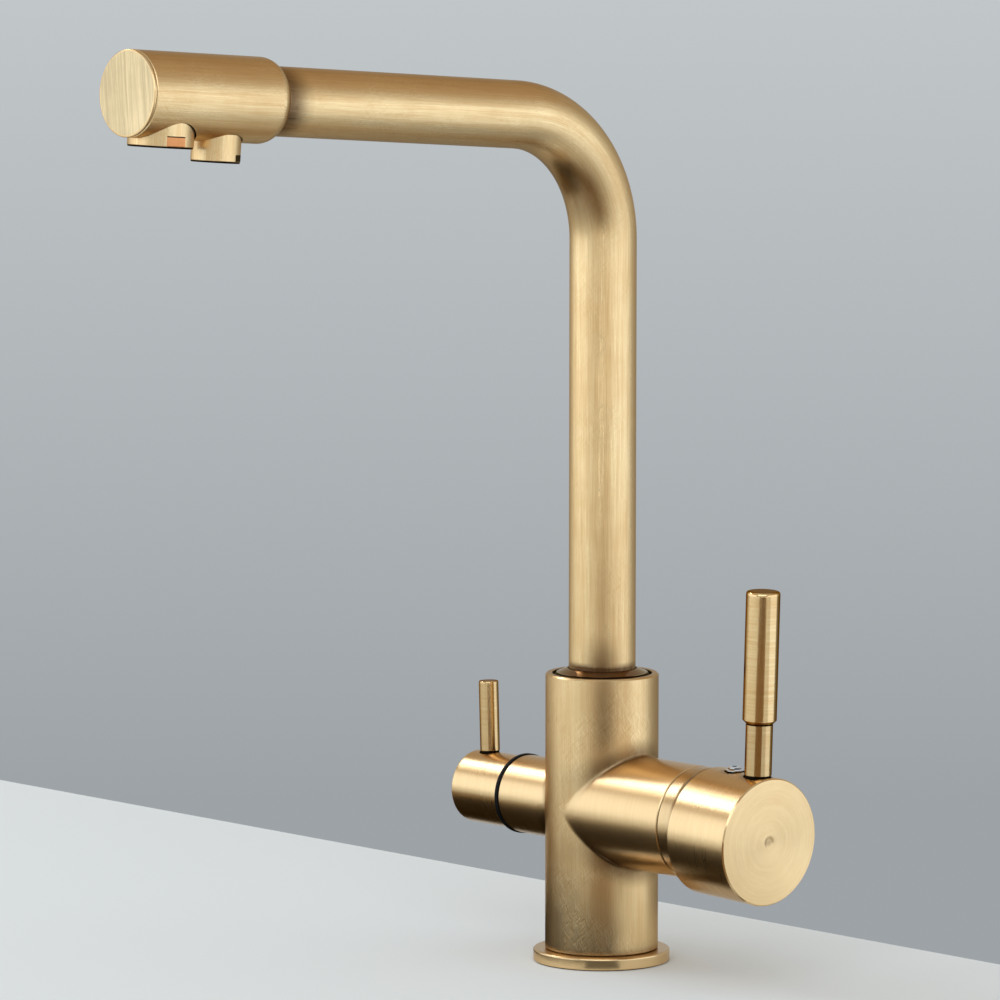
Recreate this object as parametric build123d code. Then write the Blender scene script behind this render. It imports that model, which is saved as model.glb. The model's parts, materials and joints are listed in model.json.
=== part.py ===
from build123d import *
import math
import os

# A three way kitchen tap: hot and cold through the side lever, filtered water through the small
# lever, two outlets in one spout head. Millimetres. The origin is on the deck plane under the
# column, +Z is up, +X is the mixer side and the spout reaches towards -Y.

# ---- clearances ----
FIT = 0.05  # radial gap of a piece pushed or screwed into its seat
RUN = 0.1  # radial gap of a turning spigot or spindle in its bore
FACE = 0.05  # gap between two flat faces that meet
SWING = 0.3  # gap between pieces that sweep past each other

# ---- column and base ----
COLUMN_R = 21.5
COLUMN_TOP = 110.5
FLANGE_RIM = 4.5  # how far the flange stands out past the column
FLANGE_TOP = 4.8
FLANGE_LIFT = 0.4  # the flange stands this much off the deck, on its gasket
FLANGE_EDGE = 0.8
FOOT_STEP = 2.5  # the column's foot, inside the flange, is this much thinner
FOOT_BOTTOM = 0.9
GASKET_INSET = 0.9  # from the foot to the gasket
GASKET_MARGIN = 1.1  # from the gasket to the flange's rim
GASKET_TOP = 1.9
SHANK_R = 16.5
SHANK_WALL = 3.0
SHANK_TOP = 14.0
SHANK_BOTTOM = -52.0
SHANK_CHAMFER = 1.0
PILOT_STEP = 0.9  # the shank's plain end, below its thread, is this much thinner
PILOT_L = 10.0
INLET_FLOOR = 30.0  # underside of the web that holds the three inlets
INLET_R = 4.5
INLET_DEPTH = 9.0
INLET_PITCH_R = 7.5
WATERWAY_R = 3.2
RIM_CHAMFER = 0.6

# ---- clamping set under the deck ----
RUBBER_WASHER_TOP = -24.0
RUBBER_WASHER_T = 3.0
STEEL_WASHER_T = 2.0
CLAMP_NUT_T = 12.0
CLAMP_NUT_FLATS = 44.0
WASHER_R = 24.0

# ---- mixer housing, measured along +X from the column's axis ----
AXIS_Z = 59.1  # height of the mixer and filter axis
HOUSING_R = 21.4
HOUSING_END = 52.8
CARTRIDGE_R = 17.4
CARTRIDGE_FLOOR = 27.0
NUT_THREAD_R = 19.1
NUT_THREAD_START = 49.0
NUT_KEY_FLATS = 21.8
PORT_R = 2.6
PORT_HOT = (-7.0, 4.5)  # each port's place as (y, height over the axis)
PORT_COLD = (7.0, 4.5)
PORT_MIXED = (0.0, -6.5)
SEAL_R = 4.4
SEAL_T = 1.6
BASE_T = 4.7
BASE_LIFT = 0.3
FIXED_DISC_R = 14.0
FIXED_DISC_T = 3.4
MOVING_DISC_R = 12.4
MOVING_DISC_T = 3.2
MIXING_POCKET_R = 7.0  # joins the ports it covers
MIXING_POCKET_DROP = 0.6
CARRIER_R = 10.6
CARRIER_T = 5.1
DISC_REST_DROP = 2.8  # the moving disc's offset below the axis when the tap is shut
SHELL_BORE_R = 15.6
SHELL_END = 50.0
SHELL_LIP_T = 2.2
TURRET_R = 15.3
TURRET_T = 3.0
TURRET_GAP = 0.4
NECK_R = 8.9
NECK_END = 60.0
CHEEK_GAP = 8.4  # width of the slot that holds the spindle's eye
ARM_ROOM = 12.0  # length of the turret's window for the spindle's inner arm
ARM_ROOM_RISE = 3.0
PIN_R = 1.5
PIN_LENGTH = 15.6

# ---- mixer handle; its own axis starts at the pivot and droops a little ----
PIVOT_X = 55.0
HANDLE_DROOP = 2.0  # degrees
BARREL_DROP = 1.6  # the barrel hangs this much below its spindle
BARREL_R = 24.0
BARREL_WALL = 1.0
BARREL_RIM = 6.3  # from the pivot, along the barrel
BARREL_FACE = 36.5
BARREL_PLATE_T = 3.0
BARREL_CHAMFER = 0.5
HUB_R = 8.0
HUB_START = 13.0
SPINDLE_SQUARE = 7.0
SPINDLE_END = 29.0
SPINDLE_EYE_R = 4.6
SPINDLE_EYE_W = 8.0
INNER_ARM = 13.0  # from the pivot to the ball's centre
INNER_ARM_R = 2.0
BALL_R = 2.4
BALL_GAP = 0.25
SOCKET_FLOOR = 0.5
DOME_R = 21.8
DOME_END = 66.0
DOME_WALL = 1.8
DOME_LINE = 0.15  # the fine joint line between housing and dome
DOME_SEAT_L = 3.6
SCREW_PLACE = 16.8
SCREW_R = 2.5
SCREW_LENGTH = 9.0
KEY_DEPTH = 2.2  # of the hexagon socket in each grub screw
SCREW_TOWER_R = 4.4
BUTTON_R = 3.7
BUTTON_PROUD = 1.8
BUTTON_SIDES = 8
BUTTON_TOP_R = 2.3
BUTTON_SINK = 1.3
BUTTON_DIMPLE = 0.5
BUTTON_STEM_L = 4.0
LEVER_PLACE = 29.4
LEVER_ROD_R = 5.1
LEVER_STUD_R = 3.0
LEVER_STUD_L = 10.0
LEVER_BOSS_R = 5.6
LEVER_SINK = 0.8  # depth of the lever's flat seat in the barrel's wall
LEVER_NECK_L = 20.7
GRIP_R = 6.4
GRIP_L = 49.6
GRIP_ROUND = 0.9
GRIP_CHAMFER = 1.2
GRIP_BORE_L = 30.0

# ---- filter side, measured along -X from the column's axis ----
STUB_R = 15.0
STUB_END = 42.3
VALVE_FLOOR = 16.0
VALVE_R = 9.9
VALVE_BORE_R = 7.2
VALVE_HEX_FLATS = 17.0
VALVE_HEX_END = 48.0
VALVE_CHAMBER_END = 34.0
INLET_SEAL_R = 6.8
INLET_SEAL_T = 1.5
VALVE_DISC_R = 7.05
VALVE_FIXED_T = 3.0
VALVE_MOVING_T = 2.6
VALVE_HOLE_PLACE = 3.6
VALVE_HOLE_R = 2.2
DOG_T = 4.5
DOG_FLAT = 9.0
FILTER_SPINDLE_R = 4.0
FILTER_SPINDLE_END = 61.0
OUTLET_GROOVE_R = 11.8
OUTLET_GROOVE = (23.5, 28.5)
WINDOW_W = 5.0
GAP_RING_R = 15.4
GAP_RING_BORE = 11.2
GAP_RING_T = 1.8
GAP_RING_ROUND = 0.35
FILTER_BARREL_R = 14.0
FILTER_BARREL_RIM = 44.4
FILTER_BARREL_END = 70.7
FILTER_CAVITY_R = 12.2
FILTER_CAVITY_END = 50.5
FILTER_BARREL_ROUND = 0.8
FILTER_ROD_PLACE = 63.1
FILTER_ROD_LEAN = 2.0  # degrees outwards
FILTER_ROD_R = 3.8
FILTER_ROD_SEAT = 5.5
FILTER_ROD_TOP = 41.7
FILTER_ROD_ROUND = 0.5
FILTER_SCREW_PLACE = 56.0
FILTER_SCREW_R = 2.0
FILTER_SCREW_L = 6.0
CLIP_PLACE = 48.4
CLIP_T = 0.8
CLIP_RIM = 2.0  # how far the clip stands out past the spindle
CLIP_GROOVE = 0.7  # depth
CLIP_NOTCH = 2.5
SPINDLE_RING_PLACE = 39.0
SPINDLE_RING_GROOVE = 1.15  # depth

# ---- spout ----
PIPE_R = 12.7
PIPE_WALL = 1.2
BEND_R = 49.0  # of the pipe's centre line
ARM_Z = 320.5  # where the arm's axis crosses the column's axis
ARM_RISE = 4.5  # degrees above level
PIPE_END = 177.5  # along the arm
PIPE_LIFT = 2.0  # from the mouth's floor to the pipe's foot
MOUTH_WALL = 2.8
MOUTH_DEPTH = 6.5
WEAR_RING_T = 1.0
COLLAR_GAP = 0.7  # round the collar, in the column's mouth
COLLAR_SINK = 0.6  # of the collar's outer edge below the column's top
COLLAR_PROUD = 1.9  # of the collar's inner edge above it
COLLAR_EDGE = 0.6
SPIGOT_STEP = 1.8  # the spigot is this much wider than the pipe
SPIGOT_NECK_WALL = 1.95
SPIGOT_LIFT = 2.0  # over the chamber's floor
SPIGOT_NECK_L = 12.0  # inside the pipe
CHAMBER_DEPTH = 20.0  # below the mouth's floor
ORING_HEIGHTS = (8.0, 14.0)  # over the chamber's floor
ORING_R = 0.83
ORING_GROOVE = 1.63  # depth
SNAP_HEIGHT = 3.6  # over the chamber's floor
SNAP_T = 1.0
SNAP_SINK = 1.1  # of the snap ring in the spigot
SNAP_PROUD = 0.9
SNAP_NOTCH = 5.0
BOSS_R = 6.5
BOSS_HEIGHT = 8.0
NIPPLE_R = 4.0
NIPPLE_SINK = 2.0  # of the nipple's end below the chamber's floor
NIPPLE_BORE_R = 1.5
NIPPLE_COLLAR_R = 5.5
NIPPLE_COLLAR_T = 1.5
NIPPLE_BARB_L = 14.0
NIPPLE_RING_HEIGHT = 3.0
NIPPLE_RING_GROOVE_R = 2.9
FILTER_DRILL_R = 2.2
FILTER_DRILL_SINK = 5.0
TUBE_R = 3.175
TUBE_BORE_R = 2.175

# ---- spout head, measured along the arm ----
HEAD_R = 15.7
HEAD_OVERLAP = 12.9  # of the head's socket over the pipe
HEAD_SHOULDER = 6.0
HEAD_L = 64.8
CAP_T = 1.4
CAP_CHAMFER = 0.5
CAP_SPIGOT_R = 8.0
CAP_SPIGOT_L = 3.0
SOCKET_ROOM = 0.5
CHANNEL_R = 6.0
CHANNEL_PAST = 3.8  # the water channel runs this much past the main nozzle's axis
MAIN_SETBACK = 15.2  # from the head's front
MAIN_R = 11.9
MAIN_POCKET_R = 12.6
MAIN_CEILING = 9.0
MAIN_SOCKET_R = 10.9
MAIN_SOCKET_TOP = 6.3
MAIN_BOTTOM = 18.7
MAIN_BORE_R = 9.6
MAIN_PORT_R = 5.6
FILTER_SETBACK = 41.0
FILTER_R = 9.0
FILTER_POCKET_R = 9.4
FILTER_CEILING = 12.3
FILTER_SOCKET_R = 7.5
FILTER_SOCKET_TOP = 8.0
FILTER_BOTTOM = 23.1
FILTER_BORE_R = 6.7
WASHER_T = 1.1
NOZZLE_LIP = 1.2
NOZZLE_CHAMFER = 0.3
INSERT_RECESS = 0.9
FLAT_DEPTH = 1.0
FLAT_HEIGHT = 4.4
MAIN_FLAT_TURN = 10.0  # degrees that each nozzle ended up at when screwed in
FILTER_FLAT_TURN = -33.0
JET_R = 0.75
JET_PITCH = 2.6
JET_MARGIN = 1.2
ELBOW_R = 4.6
ELBOW_GAP = 2.5  # from the pipe's end
ELBOW_SOCKET_L = 4.0
ELBOW_LEG_R = 3.9
ELBOW_BORE_R = 2.1
ELBOW_TAIL = 4.5
HEAD_RING_INSET = 10.0  # from the head's back
HEAD_RING_R = 0.5
HEAD_SCREW_INSET = 6.2
HEAD_SCREW_R = 2.0
HEAD_SCREW_RECESS = 0.6

# ---- radii worked out from the sizes above ----
FLANGE_R = COLUMN_R + FLANGE_RIM
FOOT_R = COLUMN_R - FOOT_STEP
GASKET_IN = FOOT_R + GASKET_INSET
GASKET_OUT = FLANGE_R - GASKET_MARGIN
SHANK_BORE_R = SHANK_R - SHANK_WALL
PILOT_R = SHANK_R - PILOT_STEP
BARREL_BORE_R = BARREL_R - BARREL_WALL
CLIP_R = FILTER_SPINDLE_R + CLIP_RIM
CLIP_GROOVE_R = FILTER_SPINDLE_R - CLIP_GROOVE
SPINDLE_RING_GROOVE_R = FILTER_SPINDLE_R - SPINDLE_RING_GROOVE
MOUTH_R = COLUMN_R - MOUTH_WALL
COLLAR_R = MOUTH_R - COLLAR_GAP
SPIGOT_R = PIPE_R + SPIGOT_STEP
SPIGOT_NECK_R = PIPE_R - PIPE_WALL - FIT
SPIGOT_BORE_R = SPIGOT_NECK_R - SPIGOT_NECK_WALL
ORING_GROOVE_R = SPIGOT_R - ORING_GROOVE
SNAP_IN = SPIGOT_R - SNAP_SINK
SNAP_OUT = SPIGOT_R + SNAP_PROUD
HEAD_RING_GROOVE_R = PIPE_R + 2 * (HEAD_RING_R + FIT)

# ---- places worked out from the sizes above ----
PILOT_TOP = SHANK_BOTTOM + PILOT_L
LEVER_SEAT = BARREL_R - LEVER_SINK  # height over the barrel's axis
GRIP_START = LEVER_SEAT + LEVER_NECK_L
GRIP_TOP = GRIP_START + GRIP_L
MOUTH_FLOOR = COLUMN_TOP - MOUTH_DEPTH
PIPE_FOOT = MOUTH_FLOOR + PIPE_LIFT
COLLAR_EDGE_Z = COLUMN_TOP - COLLAR_SINK
COLLAR_TOP_Z = COLUMN_TOP + COLLAR_PROUD
CHAMBER_FLOOR = MOUTH_FLOOR - CHAMBER_DEPTH
SPIGOT_BOTTOM = CHAMBER_FLOOR + SPIGOT_LIFT
SPIGOT_TOP = PIPE_FOOT + SPIGOT_NECK_L
ORING_PLACES = [CHAMBER_FLOOR + height for height in ORING_HEIGHTS]
SNAP_PLACE = CHAMBER_FLOOR + SNAP_HEIGHT
BOSS_TOP = CHAMBER_FLOOR + BOSS_HEIGHT
NIPPLE_BOTTOM = CHAMBER_FLOOR - NIPPLE_SINK
NIPPLE_BARB_TOP = BOSS_TOP + NIPPLE_BARB_L
NIPPLE_RING_PLACE = CHAMBER_FLOOR + NIPPLE_RING_HEIGHT
FILTER_DRILL_FOOT = CHAMBER_FLOOR - FILTER_DRILL_SINK
HEAD_BACK = PIPE_END - HEAD_OVERLAP
HEAD_FRONT = HEAD_BACK + HEAD_L
CAP_FACE = HEAD_FRONT + CAP_T
SOCKET_END = PIPE_END + SOCKET_ROOM
MAIN_PLACE = HEAD_FRONT - MAIN_SETBACK
FILTER_PLACE = HEAD_FRONT - FILTER_SETBACK
CHANNEL_END = MAIN_PLACE + CHANNEL_PAST
ELBOW_START = PIPE_END + ELBOW_GAP
HEAD_RING_PLACE = HEAD_BACK + HEAD_RING_INSET
HEAD_SCREW_PLACE = HEAD_BACK + HEAD_SCREW_INSET
BEND_TURN = 90 - ARM_RISE
BEND_TANGENT = BEND_R * math.tan(math.radians(BEND_TURN / 2))
BEND_Z = ARM_Z - BEND_TANGENT
DISC_START = CARTRIDGE_FLOOR + BASE_LIFT + BASE_T + FACE
MOVING_START = DISC_START + FIXED_DISC_T + FACE
CARRIER_START = MOVING_START + MOVING_DISC_T + FACE
TURRET_START = CARRIER_START + CARRIER_T + TURRET_GAP
SHELL_LIP = SHELL_END - SHELL_LIP_T
NUT_START = SHELL_END + FACE
DOME_START = HOUSING_END + DOME_LINE
DOME_SEAT_END = DOME_START + DOME_SEAT_L
VALVE_DISC_START = VALVE_FLOOR + INLET_SEAL_T + FACE
VALVE_MOVING_START = VALVE_DISC_START + VALVE_FIXED_T + FACE
DOG_START = VALVE_MOVING_START + VALVE_MOVING_T + FACE
GAP_RING_START = STUB_END + FACE
COLLAR_BOTTOM = MOUTH_FLOOR + WEAR_RING_T + FACE
TUBE_FOOT = BOSS_TOP + SWING + NIPPLE_COLLAR_T + FACE
STEEL_WASHER_TOP = RUBBER_WASHER_TOP - RUBBER_WASHER_T
CLAMP_NUT_TOP = STEEL_WASHER_TOP - STEEL_WASHER_T
INLETS = [
    (INLET_PITCH_R * math.cos(math.radians(angle)), INLET_PITCH_R * math.sin(math.radians(angle)))
    for angle in (-60, 60, 180)
]

# local +Z runs outwards along each axis: the mixer, its drooping handle, the filter, the arm
MIXER = Pos(0, 0, AXIS_Z) * Rot(0, 90, 0)
HANDLE = Pos(PIVOT_X, 0, AXIS_Z) * Rot(0, 90 + HANDLE_DROOP, 0)
BARREL = HANDLE * Pos(BARREL_DROP, 0, 0)
FILTER = Pos(0, 0, AXIS_Z) * Rot(0, -90, 0)
ARM = Pos(0, 0, ARM_Z) * Rot(90 - ARM_RISE, 0, 0)
UP_FROM_BARREL = Rot(0, -90, 0)  # turns a piece's +Z to point up, square to the barrel
UP_FROM_FILTER = Rot(0, 90 - FILTER_ROD_LEAN, 0)


# ---- shapes that repeat ----
def rod(radius, start, end):
    """A solid cylinder about Z between two heights."""
    return Pos(0, 0, start) * Cylinder(radius, end - start, align=(Align.CENTER, Align.CENTER, Align.MIN))


def tube(outer, inner, start, end):
    """A round tube about Z between two heights."""
    return rod(outer, start, end) - rod(inner, start, end)


def turned(*corners):
    """A solid of revolution about Z from its half section, given as (radius, height) corners."""
    outline = Polyline(*[(radius, 0, height) for radius, height in corners], close=True)
    return revolve(make_face(outline), Axis.Z)


def ring(middle, section, height):
    """A round-section ring about Z, such as an O-ring."""
    return Pos(0, 0, height) * Torus(middle, section)


def hexagon(flats, start, end):
    """A hexagonal bar about Z, by its width across flats."""
    return Pos(0, 0, start) * extrude(RegularPolygon(flats / 2, 6, major_radius=False), end - start)


def block(size_x, size_y, start, end):
    """A rectangular bar about Z between two heights."""
    return Pos(0, 0, start) * extrude(Rectangle(size_x, size_y), end - start)


def drill(start, end, radius):
    """A straight round hole between two points."""
    start, end = Vector(*start), Vector(*end)
    return Plane(origin=start, z_dir=end - start) * rod(radius, 0, (end - start).length)


def bent_rod(radius, foot, end):
    """A rod up the column's axis, round the bend and out along the arm."""
    riser = rod(radius, foot, BEND_Z)
    bend_axis = Axis((0, -BEND_R, BEND_Z), (1, 0, 0))
    bend = revolve(Plane((0, 0, BEND_Z)) * Circle(radius), bend_axis, BEND_TURN)
    return riser + bend + ARM * rod(radius, BEND_TANGENT, end)


def port_place(port):
    """A cartridge port's place in the mixer's own frame, whose x points down."""
    return Pos(-port[1], port[0], 0)


def nozzle(place):
    """The frame of a nozzle: its +Z runs down, square to the arm."""
    return ARM * Pos(0, 0, place) * Rot(90, 0, 0)


# ---- column, base and clamping set ----
def column_outside():
    column = rod(COLUMN_R, FLANGE_TOP + FACE, COLUMN_TOP)
    column = chamfer(column.edges().group_by(Axis.Z)[-1], RIM_CHAMFER)
    housing = MIXER * rod(HOUSING_R, 0, HOUSING_END)
    stub = FILTER * rod(STUB_R, 0, STUB_END)
    return column + housing + stub + rod(FOOT_R, FOOT_BOTTOM, FLANGE_TOP + FACE)


def spout_seat():
    """The stepped bore that the spout turns in, with the groove for its snap ring."""
    mouth = rod(MOUTH_R, MOUTH_FLOOR, COLUMN_TOP)
    bore = tube(SPIGOT_R + RUN, BOSS_R, CHAMBER_FLOOR, BOSS_TOP) + rod(SPIGOT_R + RUN, BOSS_TOP, MOUTH_FLOOR)
    groove = tube(SNAP_OUT + SWING, SPIGOT_R, SNAP_PLACE - SWING, SNAP_PLACE + SNAP_T + SWING)
    nipple_seat = rod(NIPPLE_R + RUN / 2, FILTER_DRILL_FOOT, BOSS_TOP)
    return mouth + bore + groove + nipple_seat


def mixer_seat():
    """The cartridge's chamber and the thread of the nut that holds it."""
    chamber = rod(CARTRIDGE_R + FIT, CARTRIDGE_FLOOR, HOUSING_END)
    thread = rod(NUT_THREAD_R + FIT, NUT_THREAD_START, HOUSING_END)
    return MIXER * (chamber + thread)


def filter_seat():
    """The filter valve's chamber, with a groove all round where its water comes out."""
    chamber = rod(VALVE_R + FIT, VALVE_FLOOR, STUB_END)
    groove = rod(OUTLET_GROOVE_R, *OUTLET_GROOVE)
    return FILTER * (chamber + groove)


def waterways():
    """Three inlets in the web, their ways to the two valves, and the two ways up to the spout."""
    hot, cold, filtered = INLETS
    ways = []
    for x, y in INLETS:
        ways.append(drill((x, y, INLET_FLOOR), (x, y, INLET_FLOOR + INLET_DEPTH), INLET_R))
    for (x, y), port in ((hot, PORT_HOT), (cold, PORT_COLD)):
        height = AXIS_Z + port[1]
        ways.append(drill((x, y, INLET_FLOOR), (x, y, height), WATERWAY_R))
        ways.append(drill((x, port[0], height), (CARTRIDGE_FLOOR, port[0], height), PORT_R))
    x, y = filtered
    ways.append(drill((x, y, INLET_FLOOR), (x, y, AXIS_Z), WATERWAY_R))
    ways.append(drill((x, 0, AXIS_Z), (-VALVE_FLOOR, 0, AXIS_Z), PORT_R))
    mixed_x = (BOSS_R + SPIGOT_R) / 2
    height = AXIS_Z + PORT_MIXED[1]
    ways.append(drill((CARTRIDGE_FLOOR, 0, height), (mixed_x, 0, height), PORT_R))
    ways.append(drill((mixed_x, 0, height - PORT_R / 2), (mixed_x, 0, CHAMBER_FLOOR), WATERWAY_R))
    groove_mid = sum(OUTLET_GROOVE) / 2
    ways.append(drill((-groove_mid, 0, AXIS_Z + VALVE_R), (0, 0, FILTER_DRILL_FOOT + 1), FILTER_DRILL_R))
    return ways


def body_casting():
    body = column_outside()
    body -= rod(SHANK_R + FIT, FOOT_BOTTOM, INLET_FLOOR)
    body -= spout_seat()
    body -= mixer_seat()
    body -= filter_seat()
    for way in waterways():
        body -= way
    return body


def base_flange():
    flange = tube(FLANGE_R, FOOT_R + FIT, FLANGE_LIFT, FLANGE_TOP)
    top_edge = flange.edges().filter_by(GeomType.CIRCLE).group_by(Axis.Z)[-1].sort_by(SortBy.RADIUS)[-1]
    flange = fillet(top_edge, FLANGE_EDGE)
    return flange - tube(GASKET_OUT + FIT, GASKET_IN - FIT, FLANGE_LIFT, GASKET_TOP + FACE)


def deck_gasket():
    return tube(GASKET_OUT, GASKET_IN, 0, GASKET_TOP)


def threaded_shank():
    shank = tube(SHANK_R, SHANK_BORE_R, PILOT_TOP, SHANK_TOP)
    shank += tube(PILOT_R, SHANK_BORE_R, SHANK_BOTTOM, PILOT_TOP)
    bottom_edge = shank.edges().group_by(Axis.Z)[0].sort_by(SortBy.RADIUS)[-1]
    return chamfer(bottom_edge, SHANK_CHAMFER)


def clamp_rubber_washer():
    return tube(WASHER_R, SHANK_R + FIT, STEEL_WASHER_TOP + FACE, RUBBER_WASHER_TOP)


def clamp_steel_washer():
    return tube(WASHER_R, SHANK_R + FIT, CLAMP_NUT_TOP + FACE, STEEL_WASHER_TOP)


def clamp_nut():
    nut = hexagon(CLAMP_NUT_FLATS, CLAMP_NUT_TOP - CLAMP_NUT_T, CLAMP_NUT_TOP)
    return nut - rod(SHANK_R + FIT, CLAMP_NUT_TOP - CLAMP_NUT_T, CLAMP_NUT_TOP)


def spout_wear_ring():
    return tube(MOUTH_R - FIT, SPIGOT_R + SWING, MOUTH_FLOOR, MOUTH_FLOOR + WEAR_RING_T)


# ---- mixer cartridge, fixed pieces ----
def cartridge_base():
    start = CARTRIDGE_FLOOR + BASE_LIFT
    base = rod(CARTRIDGE_R, start, start + BASE_T)
    for port in (PORT_HOT, PORT_COLD, PORT_MIXED):
        pocket = rod(SEAL_R + FIT, start, CARTRIDGE_FLOOR + SEAL_T + FACE)
        base -= port_place(port) * (pocket + rod(PORT_R, start, start + BASE_T))
    return MIXER * base


def cartridge_seals():
    seal = tube(SEAL_R, PORT_R, CARTRIDGE_FLOOR, CARTRIDGE_FLOOR + SEAL_T)
    return Compound([MIXER * port_place(port) * seal for port in (PORT_HOT, PORT_COLD, PORT_MIXED)])


def fixed_ceramic_disc():
    disc = rod(FIXED_DISC_R, DISC_START, DISC_START + FIXED_DISC_T)
    for port in (PORT_HOT, PORT_COLD, PORT_MIXED):
        disc -= port_place(port) * rod(PORT_R, DISC_START, DISC_START + FIXED_DISC_T)
    return MIXER * disc


def cartridge_shell():
    shell = tube(CARTRIDGE_R, SHELL_BORE_R, DISC_START, SHELL_END)
    lip = tube(SHELL_BORE_R, NECK_R + SWING, SHELL_LIP, SHELL_END)
    return MIXER * (shell + lip)


def cartridge_nut():
    nut = rod(NUT_THREAD_R, NUT_START, DOME_SEAT_END)
    return MIXER * (nut - hexagon(NUT_KEY_FLATS, NUT_START, DOME_SEAT_END))


def dome_ring():
    """A cap that carries the housing's line on, then rounds off inside the barrel about the pivot."""
    outside = rod(HOUSING_R, DOME_START, DOME_END) & Pos(0, 0, PIVOT_X) * Sphere(DOME_R)
    seat = rod(NUT_THREAD_R + FIT, DOME_START, DOME_SEAT_END)
    inside = Pos(0, 0, PIVOT_X) * Sphere(DOME_R - DOME_WALL) & rod(HOUSING_R, DOME_SEAT_END, DOME_END)
    return MIXER * (outside - seat - inside)


# ---- mixer cartridge, moving pieces ----
def moving_ceramic_disc():
    disc = rod(MOVING_DISC_R, MOVING_START, MOVING_START + MOVING_DISC_T)
    pocket = rod(MIXING_POCKET_R, MOVING_START, MOVING_START + MOVING_DISC_T / 2)
    return MIXER * Pos(DISC_REST_DROP, 0, 0) * (disc - Pos(MIXING_POCKET_DROP, 0, 0) * pocket)


def disc_carrier():
    """The plastic piece that drags the moving disc, with a socket for the spindle's ball."""
    carrier = Pos(DISC_REST_DROP, 0, 0) * rod(CARRIER_R, CARRIER_START, CARRIER_START + CARRIER_T)
    ball_height = INNER_ARM * math.sin(math.radians(HANDLE_DROOP))
    width = 2 * (BALL_R + BALL_GAP)
    socket = block(width, width, CARRIER_START + SOCKET_FLOOR, CARRIER_START + CARRIER_T)
    return MIXER * (carrier - Pos(-ball_height, 0, 0) * socket)


def cartridge_turret():
    """A turning plate with two cheeks that hold the spindle's pin."""
    plate = rod(TURRET_R, TURRET_START, TURRET_START + TURRET_T)
    cheeks = rod(NECK_R, TURRET_START + TURRET_T, NECK_END)
    cheeks -= block(2 * NECK_R, CHEEK_GAP, TURRET_START + TURRET_T, NECK_END)
    swing_room = Pos(-ARM_ROOM_RISE, 0, 0) * block(ARM_ROOM, CHEEK_GAP, TURRET_START, TURRET_START + TURRET_T)
    pin_hole = Pos(0, 0, PIVOT_X) * Rot(90, 0, 0) * Cylinder(PIN_R + FIT, 2 * NECK_R)
    return MIXER * (plate + cheeks - swing_room - pin_hole)


def turret_pin():
    return MIXER * Pos(0, 0, PIVOT_X) * Rot(90, 0, 0) * Cylinder(PIN_R, PIN_LENGTH)


# ---- mixer handle ----
def lever_spindle():
    eye = Rot(90, 0, 0) * Cylinder(SPINDLE_EYE_R, SPINDLE_EYE_W)
    outer = block(SPINDLE_SQUARE, SPINDLE_SQUARE, 0, SPINDLE_END)
    inner = rod(INNER_ARM_R, -INNER_ARM, 0) + Pos(0, 0, -INNER_ARM) * Sphere(BALL_R)
    pin_hole = Rot(90, 0, 0) * Cylinder(PIN_R + FIT, SPINDLE_EYE_W)
    return HANDLE * (eye + outer + inner - pin_hole)


def screw_way(radius, start, end):
    """A radial hole or screw at the grub screw's place, by heights over the barrel's axis."""
    return Pos(0, 0, SCREW_PLACE) * UP_FROM_BARREL * rod(radius, start, end)


def lever_way(radius, start, end):
    """A radial hole or boss at the lever's place, by heights over the barrel's axis."""
    return Pos(0, 0, LEVER_PLACE) * UP_FROM_BARREL * rod(radius, start, end)


def mixer_barrel():
    outside = rod(BARREL_R, BARREL_RIM, BARREL_FACE)
    outside = chamfer(outside.edges().group_by(Axis.Z)[-1], BARREL_CHAMFER)
    outside -= rod(BARREL_BORE_R, BARREL_RIM, BARREL_FACE - BARREL_PLATE_T)
    within = rod(BARREL_R - BARREL_CHAMFER, BARREL_RIM, BARREL_FACE - BARREL_PLATE_T)
    hub = rod(HUB_R, HUB_START, BARREL_FACE - BARREL_PLATE_T)
    bosses = (screw_way(SCREW_TOWER_R, 0, BARREL_R) + lever_way(LEVER_BOSS_R, 0, BARREL_R)) & within
    barrel = outside + hub + bosses
    square = SPINDLE_SQUARE + 2 * FIT
    barrel -= Pos(-BARREL_DROP, 0, 0) * block(square, square, HUB_START - 1, SPINDLE_END + FIT)
    barrel -= screw_way(SCREW_R + FIT, 0, BARREL_R + 1)
    barrel -= screw_way(BUTTON_R + 2 * FIT, BARREL_R - BUTTON_SINK, BARREL_R + 1)
    barrel -= lever_way(LEVER_STUD_R + FIT, LEVER_SEAT - LEVER_STUD_L - FIT, BARREL_R + 1)
    barrel -= lever_way(LEVER_ROD_R + FIT, LEVER_SEAT, BARREL_R + 1)
    return BARREL * barrel


def mixer_grub_screw():
    start = SPINDLE_SQUARE / 2 + BARREL_DROP + FACE
    end = start + SCREW_LENGTH
    screw = rod(SCREW_R, start, end) - hexagon(SCREW_R, end - KEY_DEPTH, end)
    return BARREL * Pos(0, 0, SCREW_PLACE) * UP_FROM_BARREL * screw


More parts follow.
